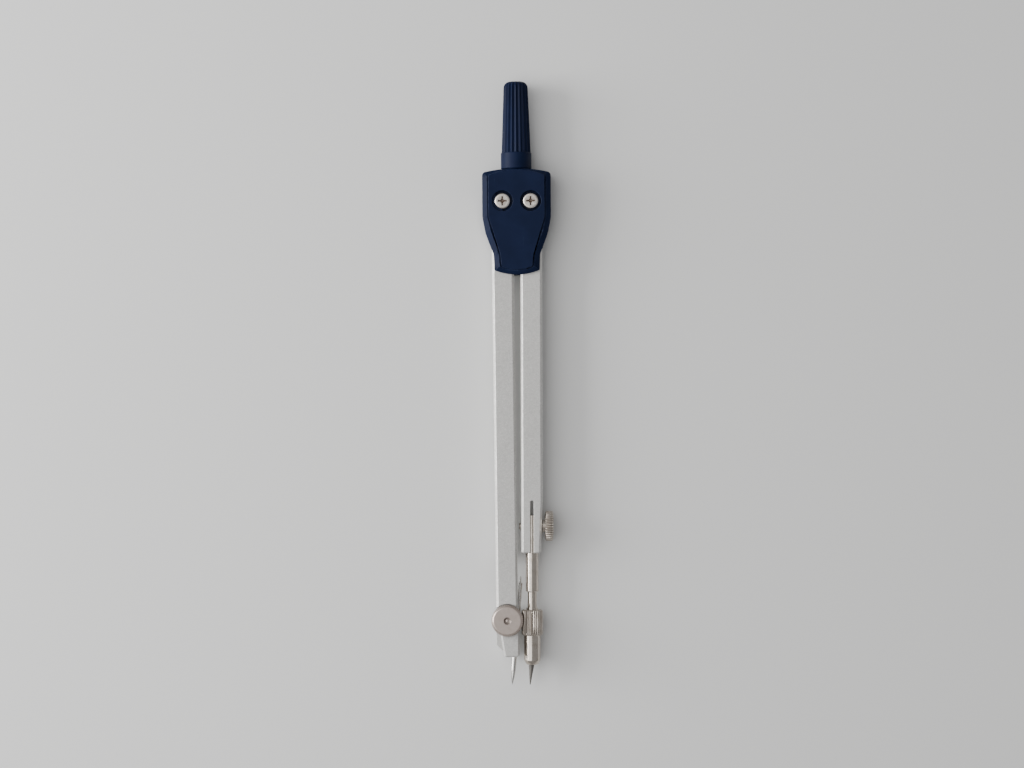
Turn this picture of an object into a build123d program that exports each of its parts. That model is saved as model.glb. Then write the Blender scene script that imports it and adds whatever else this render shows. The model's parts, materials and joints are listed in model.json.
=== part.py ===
"""A school drawing compass with a geared head, lying flat on its back with its legs closed.

Frame, in millimetres: +X to the right, +Y towards the handle, +Z out of the front of the head.
The origin is on the head's flat back face, midway between the two leg pivots.
Each leg is made straight, with its pivot on the Z axis and the leg along -Y, and is then placed.
"""

import os
from math import acos, asin, cos, degrees, pi, radians, sin, sqrt, tan

from build123d import *

# Gears that link the legs; the pivots are one pitch diameter apart
GEAR_MODULE = 0.5
GEAR_TEETH = 14
GEAR_ADDENDUM = 0.4
GEAR_DEDENDUM = 0.625
GEAR_BACKLASH = 0.1
PRESSURE_ANGLE = 20.0
FLANK_STEPS = 5
TOOTH_SINK = 0.2  # how far a tooth's foot reaches into the eye
OPENING_ANGLE = 60.0  # how far each leg swings out from the closed pose

# Head
HEAD_DEPTH = 8.6
HEAD_WIDTH = 17.0
HEAD_TOP = 8.1
HEAD_SHOULDER = 7.05
HEAD_TAPER_START = -4.0
HEAD_FLANK = (7.8, -7.6)
HEAD_WAIST = (5.75, -13.2)
HEAD_TAIL = (5.6, -17.1)
HEAD_BOTTOM = -18.2
HEAD_CORNERS = [1.0, 6.0, 5.0, 1.5, 0.5]  # corner radii from the shoulder down
HEAD_WALL = 1.3
RIM_SLOPE_WIDTH = 1.3
RIM_SLOPE_HEIGHT = 0.75
BACK_EDGE_BEVEL = 0.5
PANEL_RAISE = 0.25
PANEL_HALF_WIDTH = 6.95
PANEL_TOP = 7.75
PANEL_SHOULDER = 6.4
PANEL_WAIST = (4.1, -13.2)
PANEL_TAIL = (3.8, -16.2)
PANEL_BOTTOM = -17.0
PANEL_CORNERS = [0.5, 4.0, 3.0, 0.5]
PANEL_GROOVE_WIDTH = 0.3  # narrow groove all round the panel
PANEL_GROOVE_DEPTH = 0.2
GEAR_CHAMBER_CLEARANCE = 0.3
PAD_RADIUS = 3.2
PEG_RADIUS = 0.6
PEG_LENGTH = 1.2
PEG_PLACE = (6.2, 5.6)

# Pivot screws, nuts and friction washers
PIVOT_SCREW_RADIUS = 1.0
PIVOT_HEAD_RADIUS = 2.0
PIVOT_HEAD_HEIGHT = 1.0
PIVOT_HEAD_ROUNDING = 0.5
PIVOT_SCREW_BEVEL = 0.2
CROSS_RADIUS = 1.12
CROSS_WIDTH = 0.4
CROSS_DEPTH = 0.5
CROSS_CORE_RADII = (0.17, 0.56)
COUNTERBORE_RADIUS = 2.6
COUNTERBORE_DEPTH = 1.1
NUT_ACROSS_FLATS = 4.0
NUT_HEIGHT = 1.1
NUT_BEVEL = 0.11
WASHER_RADIUS = 2.8
WASHER_THICKNESS = 0.3

# Legs
LEG_WIDTH = 5.4
LEG_DEPTH = 5.2
LEG_EDGE_BEVEL = 0.55
LEG_OFFSET = 0.1  # the bar lies this much outside its pivot
LEG_LEAN = 0.508  # how far each closed leg leans towards the other, measured at the knee
EYE_DEPTH = 3.6
EYE_REACH = 5.0  # from the pivot to where the bar has its full depth
LEG_SWING_GAP = 0.3

# Handle
HANDLE_TOP = 29.8
HANDLE_TOP_RADIUS = 2.95
HANDLE_BASE_RADIUS = 3.6
HANDLE_DOME = 1.5
FLUTE_COUNT = 20
FLUTE_DEPTH = 0.35
COLLAR_RADIUS = 3.8
COLLAR_TOP = 12.2
COLLAR_ROUNDING = 0.25
STEM_RADIUS = 2.3
FLANGE_HALF_WIDTH = 3.2
FLANGE_BOTTOM = 4.85
FLANGE_HEIGHT = 1.4

# Knee: the joint at the end of the needle leg that carries the needle foot
KNEE_REACH = 103.9
TONGUE_LENGTH = 7.5
TONGUE_DEPTH = 1.6
TONGUE_CORNER = 1.3
CHEEK_DEPTH = 1.0
CHEEK_RADIUS = 3.2
FRONT_RELIEF_RADIUS = 4.1
BACK_RELIEF_RADIUS = 15.7
FOOT_BACK = 1.2
FOOT_LENGTH = 9.1
FOOT_RIGHT = 2.9
FOOT_LEFT_TOP = (-1.8, -2.9)
FOOT_LEFT_BOTTOM = -0.85
FOOT_CORNER_BEVEL = 0.35
FOOT_EDGE_BEVEL = 0.35
KNEE_SCREW_RADIUS = 1.0
KNEE_DISC_RADIUS = 3.95
KNEE_DISC_THICKNESS = 1.6
KNEE_DISC_BEVEL = 0.5
KNEE_DISC_EDGE = 0.1
KNEE_SCREW_BEVEL = 0.2
KNEE_SCREW_RECESS = 0.1  # how far the screw's end stays inside the foot's back
KNEE_KNURLS = 48
KNEE_KNURL_DEPTH = 0.12
DIMPLE_RADIUS = 0.92
DIMPLE_FLOOR_RADIUS = 0.32
DIMPLE_DEPTH = 0.35

# Needle
NEEDLE_RADIUS = 0.6
NEEDLE_TILT = 5.2
NEEDLE_OFFSET = 2.43  # from the knee axis to the needle, level with the axis
NEEDLE_TIP_REACH = 16.3  # from the knee axis down to the point
NEEDLE_LENGTH = 27.3
NEEDLE_POINT_LENGTH = 4.2
NEEDLE_SPIKE_RADIUS = 0.22
NEEDLE_SPIKE_LENGTH = 1.7
NEEDLE_SPIKE_TAPER = 0.6
NEEDLE_SHOULDER_BEVEL = 0.15
NEEDLE_TIP_RADIUS = 0.04
NEEDLE_POINT_STEPS = 6
NEEDLE_POINT_FULLNESS = 0.8  # below 1 makes the point's sides swell more
NEEDLE_GRIP_GAP = 0.05

# Split clamp at the end of the lead leg
SPLIT_LENGTH = 13.1
SPLIT_WIDTH = 0.9
CLAMP_PINCH = 0.5  # the outer side comes in by this much at the end
CLAMP_GRIP = 9.5  # how far the insert reaches into the leg
INSERT_BORE_SPARE = 2.8  # depth of bore above the insert
INSERT_RISE = 0.3  # the insert lies this much in front of the leg's middle
CLAMP_SCREW_HEIGHT = 6.65  # above the leg's end
CLAMP_SCREW_DROP = 0.52  # the screw lies this much behind the leg's middle
CLAMP_SCREW_RADIUS = 0.8
CLAMP_SCREW_END = 0.5
CLAMP_DISC_RADIUS = 3.72
CLAMP_DISC_THICKNESS = 2.0
CLAMP_NECK_RADIUS = 1.5
CLAMP_NECK_LENGTH = 0.75
CLAMP_KNURLS = 36
CLAMP_KNURL_DEPTH = 0.28
CLAMP_DISC_BEVEL = 0.25
CLAMP_SCREW_BEVEL = 0.15
CLAMP_END_BEVEL = 0.3

# Lead insert: holder with a split collet, sleeve that closes it, and the lead
SHANK_RADIUS = 1.6
SHANK_LENGTH = 19.2
SHANK_BEVEL = 0.2
TANG_GAP = 0.3
NECK_RADIUS = 1.15
NECK_LENGTH = 3.9
SLEEVE_DROP = 0.45  # from the neck's end to the sleeve
SLEEVE_RADIUS = 2.65
SLEEVE_KNURL_LENGTH = 6.45
SLEEVE_KNURLS = 32
SLEEVE_KNURL_DEPTH = 0.22
SLEEVE_BEVEL = 0.35
SLEEVE_THREAD_RELIEF = 0.3
BARREL_RADIUS = 2.05
BARREL_LENGTH = 7.2
BARREL_NOSE = 1.0
BARREL_NOSE_RADIUS = 1.45
HOLDER_THREAD_RADIUS = 1.45
HOLDER_THREAD_LENGTH = 5.1
COLLET_RADIUS = 1.3
COLLET_CONE = 1.0
COLLET_TIP_RADIUS = 1.16
COLLET_SLOT = 0.3
COLLET_SLOT_DROP = 0.5  # from the thread's end to the slots
LEAD_RADIUS = 1.0
LEAD_LENGTH = 15.6
LEAD_POINT_LENGTH = 7.5
LEAD_OUT = 5.0  # how far the lead stands out of the barrel
LEAD_BORE_SPARE = 1.9  # depth of bore above the lead
POINT_STEP = 0.2  # the needle's point reaches this much further than the lead's
LEAD_TIP_RADIUS = 0.12
LEAD_TIP_LEAN = 0.55  # the lead is sharpened off centre, towards the needle

# Clearances
RUNNING_FIT = 0.03  # radial, a turning shaft in its hole
SLIDING_FIT = 0.025  # radial, a part that slides in its hole
THREAD_FIT = 0.02  # radial, a plain stand-in for engaged threads
HOLE_FIT = 0.05  # radial, a screw through a loose hole
FACE_GAP = 0.05  # between flat faces that slide on each other
CHEEK_GAP = 0.1  # between the tongue and each cheek of the knee
SWING_GAP = 0.3  # between a swinging leg and what it passes

# Heights above the back face, and other sizes that follow from the ones above
MIDDLE = HEAD_DEPTH / 2
PIVOT_X = GEAR_MODULE * GEAR_TEETH / 2
LEG_FRONT = MIDDLE + LEG_DEPTH / 2
FLOOR = LEG_DEPTH / 2 + LEG_SWING_GAP
PAD_FACE = EYE_DEPTH / 2 + FACE_GAP + WASHER_THICKNESS
COVER_FACE = HEAD_DEPTH - PANEL_RAISE
PITCH_RADIUS = PIVOT_X
TIP_RADIUS = PITCH_RADIUS + GEAR_ADDENDUM
ROOT_RADIUS = PITCH_RADIUS - GEAR_DEDENDUM
CHAMBER_TOP = TIP_RADIUS + GEAR_CHAMBER_CLEARANCE
CHAMBER_HALF_WIDTH = HEAD_WIDTH / 2 - HEAD_WALL
TONGUE_FRONT = LEG_FRONT - CHEEK_DEPTH - CHEEK_GAP
TONGUE_BACK = TONGUE_FRONT - TONGUE_DEPTH
NEEDLE_Z = TONGUE_BACK - NEEDLE_GRIP_GAP - NEEDLE_RADIUS
TOE_IN = degrees(asin(LEG_LEAN / KNEE_REACH))
LEAD_TIP = KNEE_REACH + NEEDLE_TIP_REACH - POINT_STEP
LEAD_TOP = LEAD_TIP - LEAD_LENGTH
LEAD_POINT_START = LEAD_TIP - LEAD_POINT_LENGTH
LEAD_BORE_TOP = LEAD_TOP - LEAD_BORE_SPARE
BARREL_END = LEAD_TIP - LEAD_OUT
SLEEVE_KNURL_END = BARREL_END - BARREL_LENGTH
SLEEVE_TOP = SLEEVE_KNURL_END - SLEEVE_KNURL_LENGTH
NECK_END = SLEEVE_TOP - SLEEVE_DROP
HOLDER_THREAD_END = NECK_END + HOLDER_THREAD_LENGTH
COLLET_SLOT_START = HOLDER_THREAD_END + COLLET_SLOT_DROP
SHANK_END = NECK_END - NECK_LENGTH
SHANK_TOP = SHANK_END - SHANK_LENGTH
LEAD_LEG_REACH = SHANK_TOP + CLAMP_GRIP
SPLIT_TOP = LEAD_LEG_REACH - SPLIT_LENGTH
CLAMP_SCREW_REACH = LEAD_LEG_REACH - CLAMP_SCREW_HEIGHT
INSERT_BORE_TOP = SHANK_TOP - INSERT_BORE_SPARE
INSERT_Z = MIDDLE + INSERT_RISE
CLAMP_SCREW_Z = MIDDLE - CLAMP_SCREW_DROP
INSERT_BORE_RADIUS = SHANK_RADIUS + SLIDING_FIT
SLEEVE_THREAD_RADIUS = HOLDER_THREAD_RADIUS + RUNNING_FIT
SLEEVE_BORE_RADIUS = COLLET_RADIUS + RUNNING_FIT
LEAD_BORE_RADIUS = LEAD_RADIUS + SLIDING_FIT
ALL = 200.0  # longer than anything that it cuts through
SAME = 0.01  # lengths closer than this are the same point

LEFT, RIGHT = -1, 1


def slab(face, bottom, top):
    """Solid from a flat outline, between two heights."""
    return Pos(0, 0, bottom) * extrude(face, top - bottom)


def rod(x, y, radius, bottom, top):
    """Round solid along Z."""
    return Pos(x, y, (bottom + top) / 2) * Cylinder(radius, top - bottom)


def block(x_range, y_range, z_range):
    """Box between two limits along each axis."""
    sizes = [high - low for low, high in (x_range, y_range, z_range)]
    middles = [(high + low) / 2 for low, high in (x_range, y_range, z_range)]
    return Pos(*middles) * Box(*sizes)


def turned(profile):
    """Solid of revolution about Z from (radius, height) corners, closed along the axis."""
    corners = [(0, profile[0][1]), *profile, (0, profile[-1][1])]
    face = Plane.XZ * make_face(Polyline(*corners, close=True))
    return revolve(face, Axis.Z)


def star(radius, depth, count):
    """Flat face with V grooves round its rim."""
    step = pi / count
    points = []
    for index in range(2 * count):
        reach = radius - depth * (index % 2)
        points.append((reach * cos(index * step), reach * sin(index * step)))
    return make_face(Polyline(*points, close=True))


def knurled(radius, depth, count, length, bevel):
    """Straight-knurled disc about Z from 0 to length, with bevelled ends."""
    neck = radius - bevel
    envelope = turned([(neck, 0), (radius, bevel), (radius, length - bevel), (neck, length)])
    return slab(star(radius, depth, count), 0, length) & envelope


def close_to(a, b):
    """Whether two lengths are the same but for rounding."""
    return abs(a - b) < SAME


def mirror_x(point):
    """The same point on the other side of the head."""
    return (-point[0], point[1])


# ---------------------------------------------------------------- head


def head_outline(top, shoulder, half_width, middle_points, bottom, corner_radii):
    """Symmetrical face with an arched top and bottom and straight sides between."""
    right = [(half_width, shoulder), *middle_points]
    left = [mirror_x(point) for point in right]
    arches = [
        ThreePointArc(left[0], (0, top), right[0]),
        ThreePointArc(left[-1], (0, bottom), right[-1]),
    ]
    sides = [Line(a, b) for points in (left, right) for a, b in zip(points, points[1:])]
    face = make_face(arches + sides)
    for (x, y), radius in zip(right, corner_radii):
        corners = [v for v in face.vertices() if close_to(abs(v.X), x) and close_to(v.Y, y)]
        face = fillet(corners, radius)
    return face


def cover_outline():
    """Outline shared by the two covers."""
    points = [(HEAD_WIDTH / 2, HEAD_TAPER_START), HEAD_FLANK, HEAD_WAIST, HEAD_TAIL]
    return head_outline(HEAD_TOP, HEAD_SHOULDER, HEAD_WIDTH / 2, points, HEAD_BOTTOM, HEAD_CORNERS)


def panel_outline():
    """Outline of the raised panel on the front cover."""
    points = [(PANEL_HALF_WIDTH, HEAD_TAPER_START), PANEL_WAIST, PANEL_TAIL]
    return head_outline(
        PANEL_TOP, PANEL_SHOULDER, PANEL_HALF_WIDTH, points, PANEL_BOTTOM, PANEL_CORNERS
    )


def wall_end(x):
    """Lowest Y of a side wall at x, just clear of the fully opened leg's edge."""
    reach = LEG_WIDTH / 2 + LEG_OFFSET + SWING_GAP
    return (reach - (x - PIVOT_X) * cos(radians(OPENING_ANGLE))) / sin(radians(OPENING_ANGLE))


def wall_face():
    """Section of the walls between the covers: a solid top, and a side wall down to each leg's stop."""
    outer = HEAD_WIDTH
    full = cover_outline()
    face = full & Pos(0, CHAMBER_TOP + ALL / 2) * Rectangle(ALL, ALL)
    for side in (LEFT, RIGHT):
        corners = [
            (side * CHAMBER_HALF_WIDTH, CHAMBER_TOP + SWING_GAP),
            (side * outer, CHAMBER_TOP + SWING_GAP),
            (side * outer, wall_end(outer)),
            (side * CHAMBER_HALF_WIDTH, wall_end(CHAMBER_HALF_WIDTH)),
        ]
        face = face + (full & make_face(Polyline(*corners, close=True)))
    return face


def handle_socket():
    """Space for the handle's stem and square flange."""
    flange = block(
        (-FLANGE_HALF_WIDTH - FACE_GAP, FLANGE_HALF_WIDTH + FACE_GAP),
        (FLANGE_BOTTOM - FACE_GAP, FLANGE_BOTTOM + FLANGE_HEIGHT + FACE_GAP),
        (MIDDLE - FLOOR, MIDDLE + FLOOR),
    )
    stem = Pos(0, FLANGE_BOTTOM + ALL / 2, MIDDLE) * Rot(90, 0, 0) * Cylinder(STEM_RADIUS + HOLE_FIT, ALL)
    return flange + stem


def front_cover():
    """Front half of the head, with the raised panel, screw counterbores and locating pegs."""
    full = cover_outline()
    slope_bottom = COVER_FACE - RIM_SLOPE_HEIGHT
    inner = offset(full, -RIM_SLOPE_WIDTH)
    cover = slab(full, MIDDLE + FLOOR, slope_bottom)
    cover += loft([Pos(0, 0, slope_bottom) * full, Pos(0, 0, COVER_FACE) * inner], ruled=True)
    panel = panel_outline()
    cover -= slab(offset(panel, PANEL_GROOVE_WIDTH), COVER_FACE - PANEL_GROOVE_DEPTH, HEAD_DEPTH)
    cover += slab(panel, slope_bottom, HEAD_DEPTH)
    cover += slab(wall_face(), MIDDLE, MIDDLE + FLOOR)
    for side in (LEFT, RIGHT):
        cover += rod(side * PIVOT_X, 0, PAD_RADIUS, MIDDLE + PAD_FACE, MIDDLE + FLOOR)
    cover -= handle_socket()
    for side in (LEFT, RIGHT):
        cover += rod(side * PEG_PLACE[0], PEG_PLACE[1], PEG_RADIUS, MIDDLE - PEG_LENGTH, MIDDLE)
        cover -= rod(side * PIVOT_X, 0, PIVOT_SCREW_RADIUS + HOLE_FIT, 0, HEAD_DEPTH)
        cover -= rod(side * PIVOT_X, 0, COUNTERBORE_RADIUS, HEAD_DEPTH - COUNTERBORE_DEPTH, ALL)
    return cover


def hexagon(across_flats):
    """Hexagon with two flats along X."""
    return RegularPolygon(across_flats / 2, 6, major_radius=False, rotation=30)


def back_cover():
    """Back half of the head, with the nut pockets and the flat face that the compass rests on."""
    plate = slab(cover_outline(), 0, MIDDLE - FLOOR)
    rim = plate.faces().sort_by(Axis.Z)[0]
    cover = chamfer(rim.edges(), BACK_EDGE_BEVEL)
    cover += slab(wall_face(), MIDDLE - FLOOR, MIDDLE)
    for side in (LEFT, RIGHT):
        cover += rod(side * PIVOT_X, 0, PAD_RADIUS, MIDDLE - FLOOR, MIDDLE - PAD_FACE)
    cover -= handle_socket()
    for side in (LEFT, RIGHT):
        peg_x, peg_y = side * PEG_PLACE[0], PEG_PLACE[1]
        peg_end = MIDDLE - PEG_LENGTH - HOLE_FIT
        cover -= rod(peg_x, peg_y, PEG_RADIUS + HOLE_FIT, peg_end, MIDDLE + HOLE_FIT)
        cover -= rod(side * PIVOT_X, 0, PIVOT_SCREW_RADIUS + HOLE_FIT, 0, HEAD_DEPTH)
        pocket = slab(hexagon(NUT_ACROSS_FLATS + 2 * HOLE_FIT), 0, NUT_HEIGHT + HOLE_FIT)
        cover -= Pos(side * PIVOT_X, 0, 0) * pocket
    return cover


def cross_recess():
    """Cross-shaped driver recess, cut down from Z = 0."""
    wing = slab(Rectangle(2 * CROSS_RADIUS, CROSS_WIDTH), -CROSS_DEPTH, CROSS_DEPTH)
    core = Pos(0, 0, -CROSS_DEPTH / 2) * Cone(*CROSS_CORE_RADII, CROSS_DEPTH)
    return wing + Rot(0, 0, 90) * wing + core


def pivot_screw(side):
    """Pan-head machine screw through both covers and one leg."""
    seat = HEAD_DEPTH - COUNTERBORE_DEPTH
    top = seat + PIVOT_HEAD_HEIGHT
    head = turned([(PIVOT_HEAD_RADIUS, seat), (PIVOT_HEAD_RADIUS, top)])
    head = fillet(head.edges().group_by(Axis.Z)[-1], PIVOT_HEAD_ROUNDING)
    head -= Pos(0, 0, top) * cross_recess()
    shank = rod(0, 0, PIVOT_SCREW_RADIUS, HOLE_FIT, seat)
    shank = chamfer(shank.edges().group_by(Axis.Z)[0], PIVOT_SCREW_BEVEL)
    return Pos(side * PIVOT_X, 0, 0) * (head + shank)


def pivot_nut(side):
    """Hexagon nut that sits in the back cover's pocket."""
    nut = slab(hexagon(NUT_ACROSS_FLATS), 0, NUT_HEIGHT)
    corners = nut.edges().filter_by(Axis.Z, reverse=True).group_by(Axis.Z)[0]
    nut = chamfer(corners, NUT_BEVEL) - rod(0, 0, PIVOT_SCREW_RADIUS + THREAD_FIT, 0, ALL)
    return Pos(side * PIVOT_X, 0, HOLE_FIT) * nut


def friction_washer(side, bottom):
    """Thin washer between a leg's eye and a cover's pad."""
    ring = Cylinder(WASHER_RADIUS, WASHER_THICKNESS) - Cylinder(PIVOT_SCREW_RADIUS + HOLE_FIT, ALL)
    return Pos(side * PIVOT_X, 0, bottom + WASHER_THICKNESS / 2) * ring


# ---------------------------------------------------------------- handle


def handle():
    """Fluted, tapered handle with a smooth collar and a flanged stem held between the covers."""
    grip_length = HANDLE_TOP - COLLAR_TOP
    top_section = Pos(0, 0, grip_length) * star(HANDLE_TOP_RADIUS, FLUTE_DEPTH, FLUTE_COUNT)
    grip = loft([star(HANDLE_BASE_RADIUS, FLUTE_DEPTH, FLUTE_COUNT), top_section], ruled=True)
    envelope = turned([(COLLAR_RADIUS, 0), (HANDLE_TOP_RADIUS, grip_length)])
    grip = grip & fillet(envelope.edges().group_by(Axis.Z)[-1], HANDLE_DOME)
    collar = rod(0, 0, COLLAR_RADIUS, HEAD_TOP + FACE_GAP - COLLAR_TOP, 0)
    collar = fillet(collar.edges().group_by(Axis.Z)[-1], COLLAR_ROUNDING)
    stem = rod(0, 0, STEM_RADIUS, FLANGE_BOTTOM - COLLAR_TOP, HEAD_TOP - COLLAR_TOP + FACE_GAP)
    flange_bottom = FLANGE_BOTTOM - COLLAR_TOP
    flange = block(
        (-FLANGE_HALF_WIDTH, FLANGE_HALF_WIDTH),
        (-FLOOR + FACE_GAP, FLOOR - FACE_GAP),
        (flange_bottom, flange_bottom + FLANGE_HEIGHT),
    )
    return Pos(0, COLLAR_TOP, MIDDLE) * Rot(-90, 0, 0) * (grip + collar + stem + flange)


# ---------------------------------------------------------------- legs


def tooth_half_angle(radius):
    """Half the angle of a tooth at a radius, on an involute flank."""
    thickness = pi * GEAR_MODULE / 2 - GEAR_BACKLASH / 2
    pressure = radians(PRESSURE_ANGLE)
    local = acos(min(1.0, PITCH_RADIUS * cos(pressure) / radius))
    return thickness / (2 * PITCH_RADIUS) + (tan(pressure) - pressure) - (tan(local) - local)


def gear_tooth(angle):
    """One tooth on the rim of a leg's eye, centred on an angle in degrees."""
    base_radius = PITCH_RADIUS * cos(radians(PRESSURE_ANGLE))
    rise = (TIP_RADIUS - base_radius) / FLANK_STEPS
    radii = [base_radius + rise * index for index in range(FLANK_STEPS + 1)]
    flank = [(ROOT_RADIUS - TOOTH_SINK, tooth_half_angle(base_radius))]
    flank += [(radius, tooth_half_angle(radius)) for radius in radii]
    polar = flank + [(r, -half) for r, half in reversed(flank)]
    turn = radians(angle)
    points = [(r * cos(a + turn), r * sin(a + turn)) for r, a in polar]
    return make_face(Polyline(*points, close=True))


def gear_angles(side):
    """Tooth centres, in degrees up from the line of the pivots; the right gear is half a tooth out."""
    pitch = 360 / GEAR_TEETH
    first = -1 if side == LEFT else -0.5
    count = int((OPENING_ANGLE + 2 * pitch) / pitch) + (1 if side == LEFT else 0)
    return [(first + index) * pitch for index in range(count)]


def bar_section(centre, width, reach):
    """Section of a leg, with bevelled edges, at a distance below the pivot."""
    section = chamfer(Rectangle(width, LEG_DEPTH).vertices(), LEG_EDGE_BEVEL)
    return Pos(centre, -reach, MIDDLE) * (Plane.XZ * section)


def leg_bar(side, length):
    """Leg with its geared eye: a flat bar with bevelled edges, thinner round the pivot."""
    half = LEG_WIDTH / 2
    centre = side * LEG_OFFSET
    eye_bottom, eye_top = MIDDLE - EYE_DEPTH / 2, MIDDLE + EYE_DEPTH / 2
    bar = extrude(bar_section(centre, LEG_WIDTH, EYE_REACH), length - EYE_REACH)
    middles = [(edge, edge.center()) for edge in bar.edges()]
    ends = [edge for edge, at in middles if close_to(at.Y, -EYE_REACH) and close_to(at.X, centre)]
    bar = chamfer(ends, LEG_EDGE_BEVEL)
    eye = rod(0, 0, ROOT_RADIUS, eye_bottom, eye_top)
    eye += block((centre - half, centre + half), (-EYE_REACH - 1, 0), (eye_bottom, eye_top))
    for angle in gear_angles(side):
        facing = angle if side == LEFT else 180 - angle
        eye += slab(gear_tooth(facing), eye_bottom, eye_top)
    return bar + eye - rod(0, 0, PIVOT_SCREW_RADIUS + RUNNING_FIT, 0, HEAD_DEPTH)


def place_leg(side):
    """Where a leg's own frame lies in the closed compass."""
    return Pos(side * PIVOT_X, 0, 0) * Rot(0, 0, -side * TOE_IN)


# ---------------------------------------------------------------- needle leg


def knee_frame():
    """Frame on the knee axis, inside the needle leg's frame."""
    return Pos(LEFT * LEG_OFFSET, -KNEE_REACH, 0)


def needle_leg():
    """Left leg; its end is a tongue between the needle foot's cheeks."""
    leg = leg_bar(LEFT, KNEE_REACH + TONGUE_LENGTH)
    half = LEG_WIDTH / 2
    below = (-TONGUE_LENGTH - 1, 0)
    wide = (-LEG_WIDTH, LEG_WIDTH)
    front_relief = rod(0, 0, FRONT_RELIEF_RADIUS, TONGUE_FRONT, HEAD_DEPTH)
    front_relief += block(wide, below, (TONGUE_FRONT, HEAD_DEPTH))
    back_relief = rod(0, 0, BACK_RELIEF_RADIUS, 0, TONGUE_BACK)
    for side in (LEFT, RIGHT):
        corner = Polyline(
            (side * TONGUE_CORNER, -TONGUE_LENGTH),
            (side * half, -TONGUE_LENGTH + half - TONGUE_CORNER),
            (side * (half + 1), -TONGUE_LENGTH + half - TONGUE_CORNER),
            (side * (half + 1), -TONGUE_LENGTH - 1),
            (side * TONGUE_CORNER, -TONGUE_LENGTH - 1),
            close=True,
        )
        leg -= knee_frame() * slab(make_face(corner), 0, HEAD_DEPTH)
    hole = rod(0, 0, KNEE_SCREW_RADIUS + RUNNING_FIT, 0, HEAD_DEPTH)
    return leg - knee_frame() * (front_relief + back_relief + hole)


def needle_line():
    """Frame with Z along the needle, from its point upwards, inside the knee frame."""
    tilt = radians(NEEDLE_TILT)
    tip = (NEEDLE_OFFSET - NEEDLE_TIP_REACH * tan(tilt), -NEEDLE_TIP_REACH, NEEDLE_Z)
    return Plane(origin=tip, x_dir=(0, 0, 1), z_dir=(sin(tilt), cos(tilt), 0)).location


def foot_outline():
    """Front view of the foot: a round eye on the knee, tapering to the end that holds the needle."""
    lower = [
        (0, 0),
        (FOOT_RIGHT, 0),
        (FOOT_RIGHT, -FOOT_LENGTH + FOOT_CORNER_BEVEL),
        (FOOT_RIGHT - FOOT_CORNER_BEVEL, -FOOT_LENGTH),
        (FOOT_LEFT_BOTTOM + FOOT_CORNER_BEVEL, -FOOT_LENGTH),
        (FOOT_LEFT_BOTTOM, -FOOT_LENGTH + FOOT_CORNER_BEVEL),
        FOOT_LEFT_TOP,
    ]
    return make_face(Polyline(*lower, close=True)) + Circle(CHEEK_RADIUS)


def needle_foot():
    """Fork that turns on the knee: a front cheek, a thick back cheek and the block that joins them."""
    shape = foot_outline()
    foot = slab(shape, FOOT_BACK, LEG_FRONT)
    slot = (TONGUE_BACK - CHEEK_GAP, TONGUE_FRONT + CHEEK_GAP)
    tongue_reach = sqrt(TONGUE_CORNER**2 + TONGUE_LENGTH**2) + SWING_GAP
    foot -= rod(0, 0, tongue_reach, *slot)
    foot -= rod(0, 0, KNEE_SCREW_RADIUS + HOLE_FIT, slot[0], LEG_FRONT)
    foot -= rod(0, 0, KNEE_SCREW_RADIUS + THREAD_FIT, 0, slot[1])
    front = foot.faces().sort_by(Axis.Z)[-1]
    foot = chamfer(front.outer_wire().edges(), FOOT_EDGE_BEVEL)
    foot -= needle_line() * rod(0, 0, NEEDLE_RADIUS + SLIDING_FIT, 0, NEEDLE_LENGTH)
    return foot


def needle():
    """Steel needle with a long point below and a short shouldered spike above."""
    shoulder = NEEDLE_LENGTH - NEEDLE_SPIKE_LENGTH
    point = [(NEEDLE_TIP_RADIUS, 0)]
    for index in range(1, NEEDLE_POINT_STEPS + 1):
        part_way = index / NEEDLE_POINT_STEPS
        swell = sin(pi / 2 * part_way) ** NEEDLE_POINT_FULLNESS
        point.append((NEEDLE_RADIUS * swell, NEEDLE_POINT_LENGTH * part_way))
    spike = [
        (NEEDLE_RADIUS, shoulder - NEEDLE_SHOULDER_BEVEL),
        (NEEDLE_RADIUS - NEEDLE_SHOULDER_BEVEL, shoulder),
        (NEEDLE_SPIKE_RADIUS, shoulder),
        (NEEDLE_SPIKE_RADIUS, NEEDLE_LENGTH - NEEDLE_SPIKE_TAPER),
        (NEEDLE_TIP_RADIUS, NEEDLE_LENGTH),
    ]
    return needle_line() * turned(point + spike)


def knee_screw():
    """Thumb screw with a wide flat disc that clamps the knee and the needle."""
    seat = LEG_FRONT + FACE_GAP
    grip = knurled(
        KNEE_DISC_RADIUS, KNEE_KNURL_DEPTH, KNEE_KNURLS, KNEE_DISC_THICKNESS, KNEE_DISC_EDGE
    )
    cap = turned(
        [
            (KNEE_DISC_RADIUS, 0),
            (KNEE_DISC_RADIUS, KNEE_DISC_THICKNESS - KNEE_DISC_BEVEL),
            (KNEE_DISC_RADIUS - KNEE_DISC_BEVEL, KNEE_DISC_THICKNESS),
        ]
    )
    dimple = Cone(DIMPLE_FLOOR_RADIUS, DIMPLE_RADIUS, DIMPLE_DEPTH)
    disc = (grip & cap) - Pos(0, 0, KNEE_DISC_THICKNESS - DIMPLE_DEPTH / 2) * dimple
    shank = rod(0, 0, KNEE_SCREW_RADIUS, FOOT_BACK + KNEE_SCREW_RECESS, seat)
    return Pos(0, 0, seat) * disc + chamfer(shank.edges().group_by(Axis.Z)[0], KNEE_SCREW_BEVEL)


# ---------------------------------------------------------------- lead leg


def insert_frame():
    """Frame on the insert's axis, inside the lead leg's frame."""
    return Pos(RIGHT * LEG_OFFSET, 0, INSERT_Z)


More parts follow.
